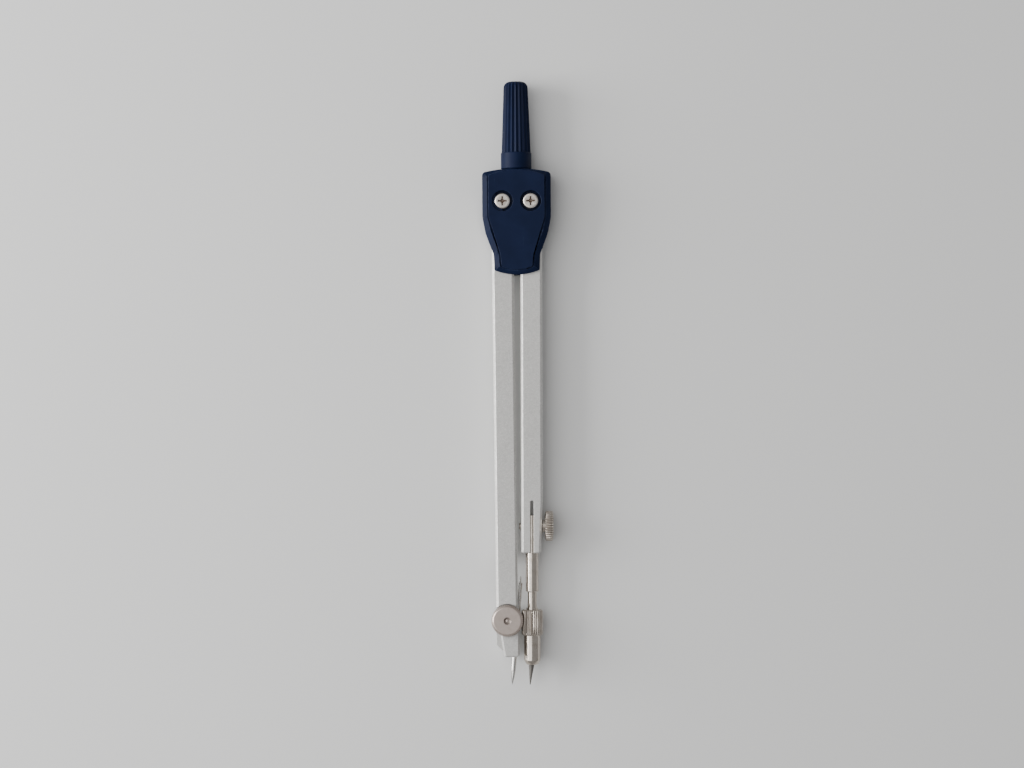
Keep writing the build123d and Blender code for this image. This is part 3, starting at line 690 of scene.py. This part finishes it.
class Shape:
    """A mesh under construction, in millimetres in its own frame."""

    def __init__(self) -> None:
        """Start with an empty mesh."""
        self.mesh = bmesh.new()
        self.mark = self.mesh.faces.layers.float.new(EDGE_MARK)
        self.depth = self.mesh.verts.layers.float.new(DEPTH_MARK)

    @classmethod
    def from_node(cls, node: Object) -> "Shape":
        """Copy a CAD node, weld its triangles and clear the lines inside its flat faces.

        Args:
            node: The CAD node; it is left as it is.

        Returns:
            The copy, in millimetres in the row frame.
        """
        shape = cls()
        shape.mesh.from_mesh(node.data)
        bmesh.ops.scale(shape.mesh, vec=Vector((1, 1, 1)) / MM, verts=shape.mesh.verts)
        bmesh.ops.remove_doubles(shape.mesh, verts=shape.mesh.verts, dist=WELD_MM)
        bmesh.ops.dissolve_degenerate(shape.mesh, edges=shape.mesh.edges, dist=WELD_MM)
        bmesh.ops.dissolve_limit(
            shape.mesh, angle_limit=FLAT_ANGLE, verts=shape.mesh.verts, edges=shape.mesh.edges
        )
        return shape

    def turn(self, profile: Sequence[tuple[float, float]], steps: int) -> None:
        """Spin a profile round +Z.

        Args:
            profile: (radius, height) corners, from the axis back to the axis.
            steps: Number of chords round the axis.
        """
        verts = [self.mesh.verts.new((radius, 0.0, height)) for radius, height in profile]
        edges = [self.mesh.edges.new(pair) for pair in zip(verts, verts[1:])]
        bmesh.ops.spin(
            self.mesh,
            geom=verts + edges,
            cent=(0, 0, 0),
            axis=(0, 0, 1),
            angle=math.tau,
            steps=steps,
            use_merge=True,
        )
        bmesh.ops.remove_doubles(self.mesh, verts=self.mesh.verts, dist=WELD_MM)

    def groove_turn(
        self, stations: Sequence[Station], grooves: int, phases: Sequence[float], tube: bool = False
    ) -> None:
        """Raise a ring through stations, with grooves round it where a station has them.

        Args:
            stations: The rings in order.
            grooves: Number of grooves round the axis.
            phases: Share of the groove's depth at each step from one groove to the next.
            tube: Whether the last ring joins the first; otherwise both ends are capped.
        """
        segments = grooves * len(phases)
        made = bmesh.ops.create_circle(self.mesh, cap_ends=False, segments=segments, radius=1.0)
        first = self._shape_ring(made["verts"], stations[0], phases)
        ring = first
        for station in stations[1:]:
            risen = bmesh.ops.extrude_edge_only(self.mesh, edges=self._ring_edges(ring))
            fresh = [item for item in risen["geom"] if isinstance(item, Vert)]
            ring = self._shape_ring(fresh, station, phases)
        if tube:
            edges = self._ring_edges(ring) + self._ring_edges(first)
            bmesh.ops.bridge_loops(self.mesh, edges=edges)
        else:
            for end in (first, ring):
                self.mesh.faces.new(end)

    def _ring_edges(self, ring: list[Vert]) -> list[bmesh.types.BMEdge]:
        """The edges along an ordered ring, in its order."""
        return [self.mesh.edges.get(pair) for pair in zip(ring, ring[1:] + ring[:1])]

    def _shape_ring(
        self, verts: Iterable[Vert], station: Station, phases: Sequence[float]
    ) -> list[Vert]:
        """Order a ring by angle, move it to its station and mark its depth.

        Args:
            verts: The ring in any order.
            station: Where it goes.
            phases: Share of the groove's depth at each step from one groove to the next.

        Returns:
            The ring in its order round the axis.
        """
        ring = sorted(verts, key=lambda vert: math.atan2(vert.co.y, vert.co.x) % math.tau)
        for index, vert in enumerate(ring):
            angle = math.tau * index / len(ring)
            phase = phases[index % len(phases)]
            reach = station.radius - station.groove * phase
            vert.co = (reach * math.cos(angle), reach * math.sin(angle), station.height)
            vert[self.depth] = phase if station.groove > 0 else station.depth
        return ring

    def mark_recess(self, recess: Recess) -> None:
        """Mark how deep each point of a recess lies."""
        for vert in self.mesh.verts:
            vert[self.depth] = recess.mark(vert.co)

    def block(self, low: Sequence[float], high: Sequence[float]) -> None:
        """Add a box.

        Args:
            low: Its lowest corner.
            high: Its highest corner.
        """
        made = bmesh.ops.create_cube(self.mesh, size=1.0)
        size = [top - bottom for bottom, top in zip(low, high)]
        middle = [(top + bottom) / 2 for bottom, top in zip(low, high)]
        bmesh.ops.scale(self.mesh, vec=size, verts=made["verts"])
        bmesh.ops.translate(self.mesh, vec=middle, verts=made["verts"])

    def round_edges(self, width: float) -> None:
        """Round every sharp outer edge and mark the new faces as edges.

        Args:
            width: Width of the rounding in millimetres.
        """
        self.mesh.normal_update()
        sharp = [
            edge
            for edge in self.mesh.edges
            if edge.is_manifold and edge.is_convex and edge.calc_face_angle() > SHARP_ANGLE
        ]
        made = bmesh.ops.bevel(
            self.mesh,
            geom=sharp,
            offset=width,
            offset_type="OFFSET",
            segments=ROUNDING_STEPS,
            profile=0.5,
            affect="EDGES",
            clamp_overlap=False,
            material=-1,
        )
        for face in made["faces"]:
            face[self.mark] = 1.0

    def turn_outwards(self) -> None:
        """Point every face outwards."""
        bmesh.ops.recalc_face_normals(self.mesh, faces=self.mesh.faces)

    def place(self, matrix: Matrix) -> None:
        """Move the whole mesh into the row frame."""
        bmesh.ops.transform(self.mesh, matrix=matrix, verts=self.mesh.verts)

    def to_object(self, name: str) -> Object:
        """Make the Blender object.

        Args:
            name: The piece's name.

        Returns:
            A smooth-shaded object at the origin, with weighted normals.
        """
        data = bpy.data.meshes.new(name)
        self.mesh.to_mesh(data)
        self.mesh.free()
        data.shade_smooth()
        data.set_sharp_from_angle(angle=SHADING_ANGLE)
        made = bpy.data.objects.new(name, data)
        link(made)
        weighting = made.modifiers.new("even flats", "WEIGHTED_NORMAL")
        weighting.keep_sharp = True
        return made


# ---- pieces


@dataclass
class SubAssembly:
    """What every group of pieces shares: the frame, and how a piece joins it."""

    frame: CompassFrame

    def join(
        self,
        shape: Shape,
        name: str,
        node: str,
        body: Body,
        slot: Slot,
        material: Material,
    ) -> Object:
        """Turn a finished shape into a piece of the compass.

        Args:
            shape: The shape, already in the row frame.
            name: The piece's name.
            node: The CAD node that it stands for.
            body: The body that it rides on.
            slot: The record's material slot; not used.
            material: Its material.

        Returns:
            The new object.
        """
        piece = shape.to_object(name)
        piece.data.materials.append(material)
        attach(piece, body.value)
        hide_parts(node)
        LOG.info("%s: %d faces, rides on %s", name, len(piece.data.polygons), body.value)
        return piece

    def from_cad(
        self,
        node: str,
        body: Body,
        slot: Slot,
        material: Material,
        rounding: float,
        recess: Recess | None = None,
    ) -> Object:
        """Make a piece from a CAD node by rounding its edges.

        Args:
            node: The CAD node.
            body: The body that it rides on.
            slot: The record's material slot.
            material: Its material.
            rounding: Width of the rounding in millimetres.
            recess: A recess to mark, if it has one.

        Returns:
            The new object.
        """
        shape = Shape.from_node(self.frame.nodes[node])
        shape.round_edges(rounding)
        if recess is not None:
            shape.mark_recess(recess)
        shape.place(Matrix.Scale(MM, 4))
        return self.join(shape, f"finished_{node}", node, body, slot, material)


@dataclass
class Head(SubAssembly):
    """The two covers, their screws and nuts, and the washers at the legs' eyes."""

    cover_rounding: float = 0.10
    screw_rounding: float = 0.045
    nut_rounding: float = 0.05
    cross_radius: float = 1.25
    cross_depth: float = 0.5
    washer_rounding: float = 0.03

    def build(self) -> None:
        """Make every piece of the head but the handle."""
        plastic = NavyPlastic().material()
        for node in ("front_cover", "back_cover"):
            self.from_cad(node, Body.HEAD, Slot.NAVY_PLASTIC, plastic, self.cover_rounding)
        nylon = WasherNylon().material()
        for side in Side:
            self._screw_and_nut(side)
            for face in ("front", "back"):
                node = f"{face}_washer_{side.value}"
                self.from_cad(node, Body.HEAD, Slot.WASHER_NYLON, nylon, self.washer_rounding)

    def _screw_and_nut(self, side: Side) -> None:
        """Make one pivot screw and its nut.

        Args:
            side: Which of the two.
        """
        line = self.frame.axis(side.hinge())
        metal = TurnedMetal(
            f"pivot nickel {side.value}",
            line,
            metal=(0.80, 0.75, 0.69),
            # painted shade in the screw's cross recess: dark brown, at full strength
            recess_shade=(0.10, 0.055, 0.030),
            tarnish_share=0.4,
            recess_shade_share=1.0,
        ).material()
        screw, nut = f"pivot_screw_{side.value}", f"pivot_nut_{side.value}"
        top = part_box(screw)[1].z / MM
        centre = Vector((line.point.x / MM, line.point.y / MM, top))
        cross = Recess(centre, self.cross_radius, self.cross_depth)
        self.from_cad(screw, Body.HEAD, Slot.NICKEL, metal, self.screw_rounding, cross)
        self.from_cad(nut, Body.HEAD, Slot.NICKEL, metal, self.nut_rounding)


@dataclass
class Handle(SubAssembly):
    """Fluted grip with a domed end, on a smooth collar, with the stem that the covers hold."""

    flutes: int = 20
    flute_steps: int = 8
    flute_depth: float = 0.34
    top_radius: float = 2.95
    base_radius: float = 3.6
    collar_radius: float = 3.8
    collar_gap: float = 0.05
    collar_top: float = 12.2
    collar_rounding: float = 0.25
    collar_steps: int = 3
    dome: float = 1.5
    dome_steps: int = 6
    crown_inset: float = 0.3
    stem_radius: float = 2.3
    flange_bottom: float = 4.85
    flange_height: float = 1.4
    flange_half_width: float = 3.2
    ring_steps: int = 10

    def build(self) -> None:
        """Make the handle."""
        low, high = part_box("handle")
        middle = (low + high) / 2
        line = Line(Vector((middle.x, 0.0, middle.z)), Vector((0, 1, 0)))
        shape = Shape()
        phases = [
            0.5 - 0.5 * math.cos(math.tau * step / self.flute_steps)
            for step in range(self.flute_steps)
        ]
        collar_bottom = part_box("front_cover")[1].y / MM + self.collar_gap
        shape.groove_turn(self._stations(collar_bottom, high.y / MM), self.flutes, phases)
        half_depth = (high.z - low.z) / MM / 2
        flange_depth = min(half_depth, self.flange_half_width) - self.collar_rounding
        shape.block(
            (-self.flange_half_width, -flange_depth, self.flange_bottom),
            (self.flange_half_width, flange_depth, self.flange_bottom + self.flange_height),
        )
        shape.turn_outwards()
        shape.place(line.matrix())
        plastic = NavyPlastic().material()
        self.join(shape, "fluted_handle", "handle", Body.HEAD, Slot.NAVY_PLASTIC, plastic)

    def _stations(self, collar_bottom: float, top: float) -> list[Station]:
        """Work out the handle's rings from the stem's end to the dome.

        Args:
            collar_bottom: Height of the collar's lower face.
            top: Height of the dome's top.

        Returns:
            The stations in order.
        """
        edge = self.collar_rounding
        stations = [
            Station(self.flange_bottom, self.stem_radius),
            Station(collar_bottom, self.stem_radius),
            Station(collar_bottom, self.collar_radius - edge / 2),
            Station(collar_bottom + edge / 2, self.collar_radius),
        ]
        corner = (self.collar_radius - edge, self.collar_top - edge)
        stations += rounded_corner(corner, edge, self.collar_steps)
        grip_bottom, grip_top = self.collar_top, top - self.dome
        slope = (self.base_radius - self.top_radius) / (top - self.collar_top)
        for step in range(self.ring_steps + 1):
            height = grip_bottom + (grip_top - grip_bottom) * step / self.ring_steps
            radius = self.base_radius - slope * (height - grip_bottom)
            stations.append(Station(height, radius, self.flute_depth))
        shoulder = self.base_radius - slope * (grip_top - grip_bottom)
        for step in range(1, self.dome_steps + 1):
            angle = math.pi / 2 * step / (self.dome_steps + 0.5)
            fade = self.flute_depth * math.cos(angle)
            radius = shoulder - self.dome * (1 - math.cos(angle))
            stations.append(Station(grip_top + self.dome * math.sin(angle), radius, fade))
        stations.append(Station(top, shoulder - self.dome - self.crown_inset))
        return stations


@dataclass
class NeedleLeg(SubAssembly):
    """Left leg with its knee, the foot, the needle and the thumb screw that clamps them."""

    leg_rounding: float = 0.07
    foot_rounding: float = 0.07
    needle_steps: int = 48
    needle_radius: float = 0.6
    spike_radius: float = 0.22
    spike_length: float = 1.7
    spike_taper: float = 0.6
    point_length: float = 4.2
    point_steps: int = 10
    point_fullness: float = 0.8
    tip_radius: float = 0.04
    shoulder_bevel: float = 0.15
    disc_radius: float = 3.95
    disc_bevel: float = 0.5
    disc_thickness: float = 1.6
    disc_foot: Stations = (Station(0.0, -0.25), Station(0.12, -0.02, 0.4), Station(0.2, 0.0, 1.0))
    disc_edge: Stations = (Station(-0.06, 0.0, 1.0), Station(0.04, -0.06, 0.4))
    disc_lip: Stations = (Station(-0.06, 0.04), Station(0.0, -0.06), Station(0.0, -0.20))
    disc_knurls: int = 48
    knurl_depth: float = 0.12
    knurl_phases: tuple[float, ...] = (0.0, 0.0, 0.6, 1.0, 0.6)
    dimple_radius: float = 0.92
    dimple_lip: Stations = (
        Station(0.0, 0.14),
        Station(0.0, 0.02),
        Station(-0.05, -0.03, depth=0.6),
        Station(-0.21, -0.20, depth=1.0),
    )
    dimple_floor: float = 0.32
    dimple_depth: float = 0.35
    dimple_base: Stations = (Station(0.0, 0.10, depth=0.8), Station(0.05, -0.05, depth=0.1))
    screw_radius: float = 1.0
    screw_bevel: float = 0.2

    def build(self) -> None:
        """Make the leg and what it carries."""
        paint = SilverPaint().material()
        leg, foot = Body.NEEDLE_LEG, Body.NEEDLE_FOOT
        self.from_cad("needle_leg", leg, Slot.SILVER_PAINT, paint, self.leg_rounding)
        self.from_cad("needle_foot", foot, Slot.SILVER_PAINT, paint, self.foot_rounding)
        self._needle()
        self._knee_screw()

    def _needle(self) -> None:
        """Make the needle, from its point to its shouldered spike."""
        low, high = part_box("needle")
        direction = -Vector(self.frame.joints["needle_slide"]["axis"]).normalized()
        middle = (low + high) / 2
        length = (high.y - low.y - 2 * self.tip_radius * MM) / direction.y / MM
        line = Line(middle, direction).at(-length / 2)
        profile = [(0.0, 0.0), (self.tip_radius, 0.0)]
        for step in range(1, self.point_steps + 1):
            part_way = step / self.point_steps
            swell = math.sin(math.pi / 2 * part_way) ** self.point_fullness
            profile.append((self.needle_radius * swell, self.point_length * part_way))
        shoulder = length - self.spike_length
        profile += [
            (self.needle_radius, shoulder - self.shoulder_bevel),
            (self.needle_radius - self.shoulder_bevel, shoulder),
            (self.spike_radius, shoulder),
            (self.spike_radius, length - self.spike_taper),
            (self.tip_radius, length),
            (0.0, length),
        ]
        shape = Shape()
        shape.turn(profile, self.needle_steps)
        shape.turn_outwards()
        shape.place(line.matrix())
        steel = TurnedMetal(
            "needle steel",
            line,
            metal=(0.66, 0.65, 0.63),
            smoothness=0.16,
            ring_width=0.05,
            tarnish_share=0.15,
        )
        slot = Slot.NEEDLE_STEEL
        self.join(shape, "turned_needle", "needle", Body.NEEDLE, slot, steel.material())

    def _knee_screw(self) -> None:
        """Make the knee's thumb screw: a flat disc with a dimple, on a plain shank."""
        low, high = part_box("knee_thumb_screw")
        axis = self.frame.axis("knee_screw_turn")
        line = Line(Vector((axis.point.x, axis.point.y, 0.0)), Vector((0, 0, 1)))
        top, end = high.z / MM, low.z / MM
        seat = top - self.disc_thickness
        rim, bevel, cut = self.disc_radius, self.disc_bevel, self.knurl_depth
        stations = [
            Station(end, self.screw_radius - self.screw_bevel),
            Station(end + self.screw_bevel, self.screw_radius),
            Station(seat, self.screw_radius),
            *around(seat, rim, self.disc_foot, cut),
            *around(top - bevel, rim, self.disc_edge, cut),
            *around(top, rim - bevel, self.disc_lip),
            *around(top, self.dimple_radius, self.dimple_lip),
            *around(top - self.dimple_depth, self.dimple_floor, self.dimple_base),
        ]
        shape = Shape()
        shape.groove_turn(stations, self.disc_knurls, self.knurl_phases)
        shape.turn_outwards()
        shape.place(line.matrix())
        nickel = TurnedMetal(
            "knee screw nickel",
            line,
            metal=(0.55, 0.475, 0.43),
            tarnish=(0.40, 0.33, 0.285),
            smoothness=0.30,
            ring_width=0.22,
            ring_depth=0.0015,
            tarnish_share=0.45,
        ).material()
        body, node = Body.KNEE_SCREW, "knee_thumb_screw"
        self.join(shape, "turned_knee_screw", node, body, Slot.NICKEL, nickel)


@dataclass
class LeadLeg(SubAssembly):
    """Right leg with its split clamp, and the knurled screw that closes the clamp."""

    leg_rounding: float = 0.07
    disc_radius: float = 3.72
    disc_thickness: float = 2.0
    disc_bevel: float = 0.25
    disc_knurls: int = 36
    knurl_depth: float = 0.28
    knurl_fade: float = 0.1
    knurl_phases: tuple[float, ...] = (0.0, 0.0, 0.55, 1.0, 0.55)
    lip_inset: float = 0.2
    lip_reach: float = 0.12
    lip_rise: float = 0.05
    dish_radius: float = 0.9
    dish_floor: float = 0.6
    dish_depth: float = 0.12
    neck_radius: float = 1.5
    neck_bevel: float = 0.1
    neck_length: float = 0.75
    screw_radius: float = 0.8
    screw_bevel: float = 0.15

    def build(self) -> None:
        """Make the leg and its clamp screw."""
        paint = SilverPaint().material()
        self.from_cad("lead_leg", Body.LEAD_LEG, Slot.SILVER_PAINT, paint, self.leg_rounding)
        self._clamp_screw()

    def _clamp_screw(self) -> None:
        """Make the clamp's thumb screw, from its inner end to its knurled disc."""
        low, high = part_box("clamp_thumb_screw")
        axis = self.frame.axis("clamp_screw_turn")
        lean = axis.direction.y * self.disc_radius * MM
        outer = (high.x - abs(lean) - axis.point.x) / axis.direction.x / MM
        inner = (low.x - axis.point.x) / axis.direction.x / MM
        seat = outer - self.disc_thickness
        neck = seat - self.neck_length
        rim, bevel, cut = self.disc_radius, self.disc_bevel, self.knurl_depth
        face = rim - bevel - self.lip_inset
        lip, faint = face + self.lip_reach, cut * self.knurl_fade
        stations = [
            Station(inner, self.screw_radius - self.screw_bevel),
            Station(inner + self.screw_bevel, self.screw_radius),
            Station(neck, self.screw_radius),
            Station(neck, self.neck_radius - self.neck_bevel),
            Station(neck + self.neck_bevel, self.neck_radius),
            Station(seat, self.neck_radius),
            Station(seat, face),
            Station(seat + self.lip_rise, lip, faint),
            Station(seat + bevel, rim, cut),
            Station(outer - bevel, rim, cut),
            Station(outer - self.lip_rise, lip, faint),
            Station(outer, face),
            Station(outer, self.dish_radius),
            Station(outer - self.dish_depth, self.dish_floor),
        ]
        shape = Shape()
        shape.groove_turn(stations, self.disc_knurls, self.knurl_phases)
        shape.turn_outwards()
        shape.place(axis.matrix())
        nickel = TurnedMetal("clamp screw nickel", axis)
        body, node = Body.CLAMP_SCREW, "clamp_thumb_screw"
        self.join(shape, "knurled_clamp_screw", node, body, Slot.NICKEL, nickel.material())


@dataclass
class LeadInsert(SubAssembly):
    """Insert in the split clamp: holder with its collet, knurled sleeve and lead."""

    holder_rounding: float = 0.05
    sleeve_radius: float = 2.65
    sleeve_knurls: int = 32
    knurl_depth: float = 0.22
    knurl_fade: float = 0.25
    knurl_inset: float = 0.05
    knurl_phases: tuple[float, ...] = (0.0, 0.0, 0.6, 1.0, 0.6)
    knurl_length: float = 6.45
    sleeve_bevel: float = 0.35
    bore_bevel: float = 0.1
    thread_bore: float = 1.48
    thread_depth: float = 4.95
    collet_bore: float = 1.33
    collet_cone: float = 1.0
    nose_bore: float = 1.19
    mouth_bore: float = 1.05
    barrel_radius: float = 2.05
    barrel_edge: Stations = (Station(-0.08, 0.0), Station(0.05, -0.04))
    nose_length: float = 1.0
    nose_radius: float = 1.45
    nose_edge: Stations = (Station(-0.08, 0.03), Station(0.0, -0.08))
    lead_radius: float = 1.0
    lead_top_bevel: float = 0.08
    lead_point_length: float = 7.5
    lead_point_steps: int = 8
    lead_tip_radius: float = 0.12
    lead_tip_lean: float = 0.55
    lead_facets: int = 40

    def build(self) -> None:
        """Make the holder, the sleeve and the lead."""
        line = self.frame.axis("sleeve_turn")
        nickel = TurnedMetal("insert nickel", line, smoothness=0.12, tarnish_share=0.3)
        body, slot = Body.LEAD_HOLDER, Slot.NICKEL
        self.from_cad("lead_holder", body, slot, nickel.material(), self.holder_rounding)
        self._sleeve(line)
        self._lead(line)

    def _along(self, line: Line, y: float) -> float:
        """Distance along the line, in millimetres, of the point at that Y."""
        return (y - line.point.y) / line.direction.y / MM

    def _sleeve(self, line: Line) -> None:
        """Make the sleeve: knurl, barrel and nose outside, thread and collet seat inside.

        Args:
            line: The insert's axis, pointing down.
        """
        low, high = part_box("chuck_sleeve")
        lean = abs(line.direction.x) * MM
        top = self._along(line, high.y - lean * (self.sleeve_radius - self.sleeve_bevel))
        end = self._along(line, low.y + lean * self.nose_radius)
        shoulder = top + self.knurl_length
        nose = end - self.nose_length
        rim, cut, bevel = self.sleeve_radius, self.knurl_depth, self.sleeve_bevel
        face, half, faint = rim - bevel - self.knurl_inset, bevel / 2, cut * self.knurl_fade
        stations = [
            Station(top + self.bore_bevel, self.thread_bore),
            Station(top, self.thread_bore + self.bore_bevel),
            Station(top, face),
            Station(top + half, rim - half, faint),
            Station(top + bevel, rim, cut),
            Station(shoulder - bevel, rim, cut),
            Station(shoulder - half, rim - half, faint),
            Station(shoulder, face),
            Station(shoulder, self.barrel_radius),
            *around(nose, self.barrel_radius, self.barrel_edge),
            *around(end, self.nose_radius, self.nose_edge),
            Station(end, self.mouth_bore),
            Station(nose, self.nose_bore),
            Station(nose - self.collet_cone, self.collet_bore),
            Station(top + self.thread_depth, self.collet_bore),
            Station(top + self.thread_depth, self.thread_bore),
        ]
        shape = Shape()
        shape.groove_turn(stations, self.sleeve_knurls, self.knurl_phases, tube=True)
        shape.turn_outwards()
        shape.place(line.matrix())
        nickel = TurnedMetal("sleeve nickel", line, smoothness=0.12, tarnish_share=0.35)
        body, node = Body.CHUCK_SLEEVE, "chuck_sleeve"
        self.join(shape, "knurled_sleeve", node, body, Slot.NICKEL, nickel.material())

    def _lead(self, line: Line) -> None:
        """Make the lead: a rod drawn to a point that leans towards the needle.

        Args:
            line: The insert's axis, pointing down.
        """
        low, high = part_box("lead")
        top = self._along(line, high.y - abs(line.direction.x) * self.lead_radius * MM)
        tip = self._along(line, low.y)
        shape = Shape()
        point = tip - self.lead_point_length
        stations = [
            Station(top, self.lead_radius - self.lead_top_bevel),
            Station(top + self.lead_top_bevel, self.lead_radius),
            Station(point, self.lead_radius),
        ]
        for step in range(1, self.lead_point_steps + 1):
            share = step / self.lead_point_steps
            radius = self.lead_radius + (self.lead_tip_radius - self.lead_radius) * share
            stations.append(Station(point + (tip - point) * share, radius))
        shape.groove_turn(stations, self.lead_facets, (0.0,))
        shape.place(line.matrix())
        self._lean_tip(shape, line, point, tip)
        shape.turn_outwards()
        graphite = Graphite(line).material()
        self.join(shape, "sharpened_lead", "lead", Body.LEAD, Slot.GRAPHITE, graphite)

    def _lean_tip(self, shape: Shape, line: Line, point: float, tip: float) -> None:
        """Lean the sharpened stretch of the lead to one side.

        Args:
            shape: The lead, in the row frame.
            line: The insert's axis.
            point: Where the sharpened stretch starts, along the axis in millimetres.
            tip: Where it ends.
        """
        for vert in shape.mesh.verts:
            along = self._along(line, vert.co.y)
            share = max(0.0, (along - point) / (tip - point))
            vert.co.x -= self.lead_tip_lean * share * MM


# ---- stage


@dataclass(frozen=True)
class SoftLight:
    """A square light, with its place from the compass's middle and its side in metres."""

    name: str
    place: Triple
    size: float
    watts: float


@dataclass
class Studio:
    """Pale floor, soft lights and a camera straight above."""

    frame: CompassFrame
    centre: tuple[float, float] = (-1.47, -45.3)
    turn_degrees: float = 0.45
    view_width: float = 254.0
    object_height: float = 6.0
    lens: float = 100.0
    sensor: float = 36.0
    floor_size: float = 3.0
    sky: Colour = (0.50, 0.50, 0.505)
    sky_strength: float = 0.70
    lights: tuple[SoftLight, ...] = (
        SoftLight("window", (-0.66, 0.08, 0.22), 0.36, 6.0),
        SoftLight("key", (-0.42, 0.06, 0.60), 0.85, 4.2),
    )

    def build(self) -> None:
        """Make the floor, the lights and the camera."""
        self._floor()
        self._camera()
        for light in self.lights:
            self._light(light)
        world = bpy.data.worlds.new("studio")
        world.use_nodes = True
        background = world.node_tree.nodes["Background"]
        background.inputs["Color"].default_value = (*self.sky, 1.0)
        background.inputs["Strength"].default_value = self.sky_strength
        bpy.context.scene.world = world

    def _floor(self) -> None:
        """Make the floor just under the compass."""
        sheet = bmesh.new()
        bmesh.ops.create_grid(sheet, x_segments=1, y_segments=1, size=self.floor_size / 2)
        bmesh.ops.translate(sheet, vec=(0, 0, self.frame.lowest.z), verts=sheet.verts)
        data = bpy.data.meshes.new("floor")
        sheet.to_mesh(data)
        sheet.free()
        floor = bpy.data.objects.new("floor", data)
        data.materials.append(FloorSheet().material())
        link(floor)
        floor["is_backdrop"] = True

    def _camera(self) -> None:
        """Make the camera, looking straight down."""
        lens = bpy.data.cameras.new("camera")
        lens.lens = self.lens
        lens.sensor_width = self.sensor
        camera = bpy.data.objects.new("camera", lens)
        distance = self.view_width * self.lens / self.sensor
        height = (distance + self.object_height) * MM
        camera.location = (self.centre[0] * MM, self.centre[1] * MM, height)
        camera.rotation_euler = (0.0, 0.0, -math.radians(self.turn_degrees))
        link(camera)
        bpy.context.scene.camera = camera

    def _light(self, light: SoftLight) -> None:
        """Make one light and turn it to the compass.

        Args:
            light: The light's name, place, size and power.
        """
        lamp = bpy.data.lights.new(light.name, "AREA")
        lamp.size = light.size
        lamp.energy = light.watts
        place = Vector(light.place)
        made = bpy.data.objects.new(light.name, lamp)
        made.location = (self.frame.lowest + self.frame.highest) / 2 + place
        made.rotation_mode = "QUATERNION"
        made.rotation_quaternion = (-place).to_track_quat("-Z", "Y")
        link(made)


def main() -> None:
    """Build the compass and its stage."""
    logging.basicConfig(level=logging.INFO, format="%(name)s: %(message)s")
    frame = CompassFrame.load()
    for group in (Head, Handle, NeedleLeg, LeadLeg, LeadInsert):
        LOG.info("building %s", group.__name__)
        group(frame).build()
    Studio(frame).build()


if __name__ == "__main__":
    main()
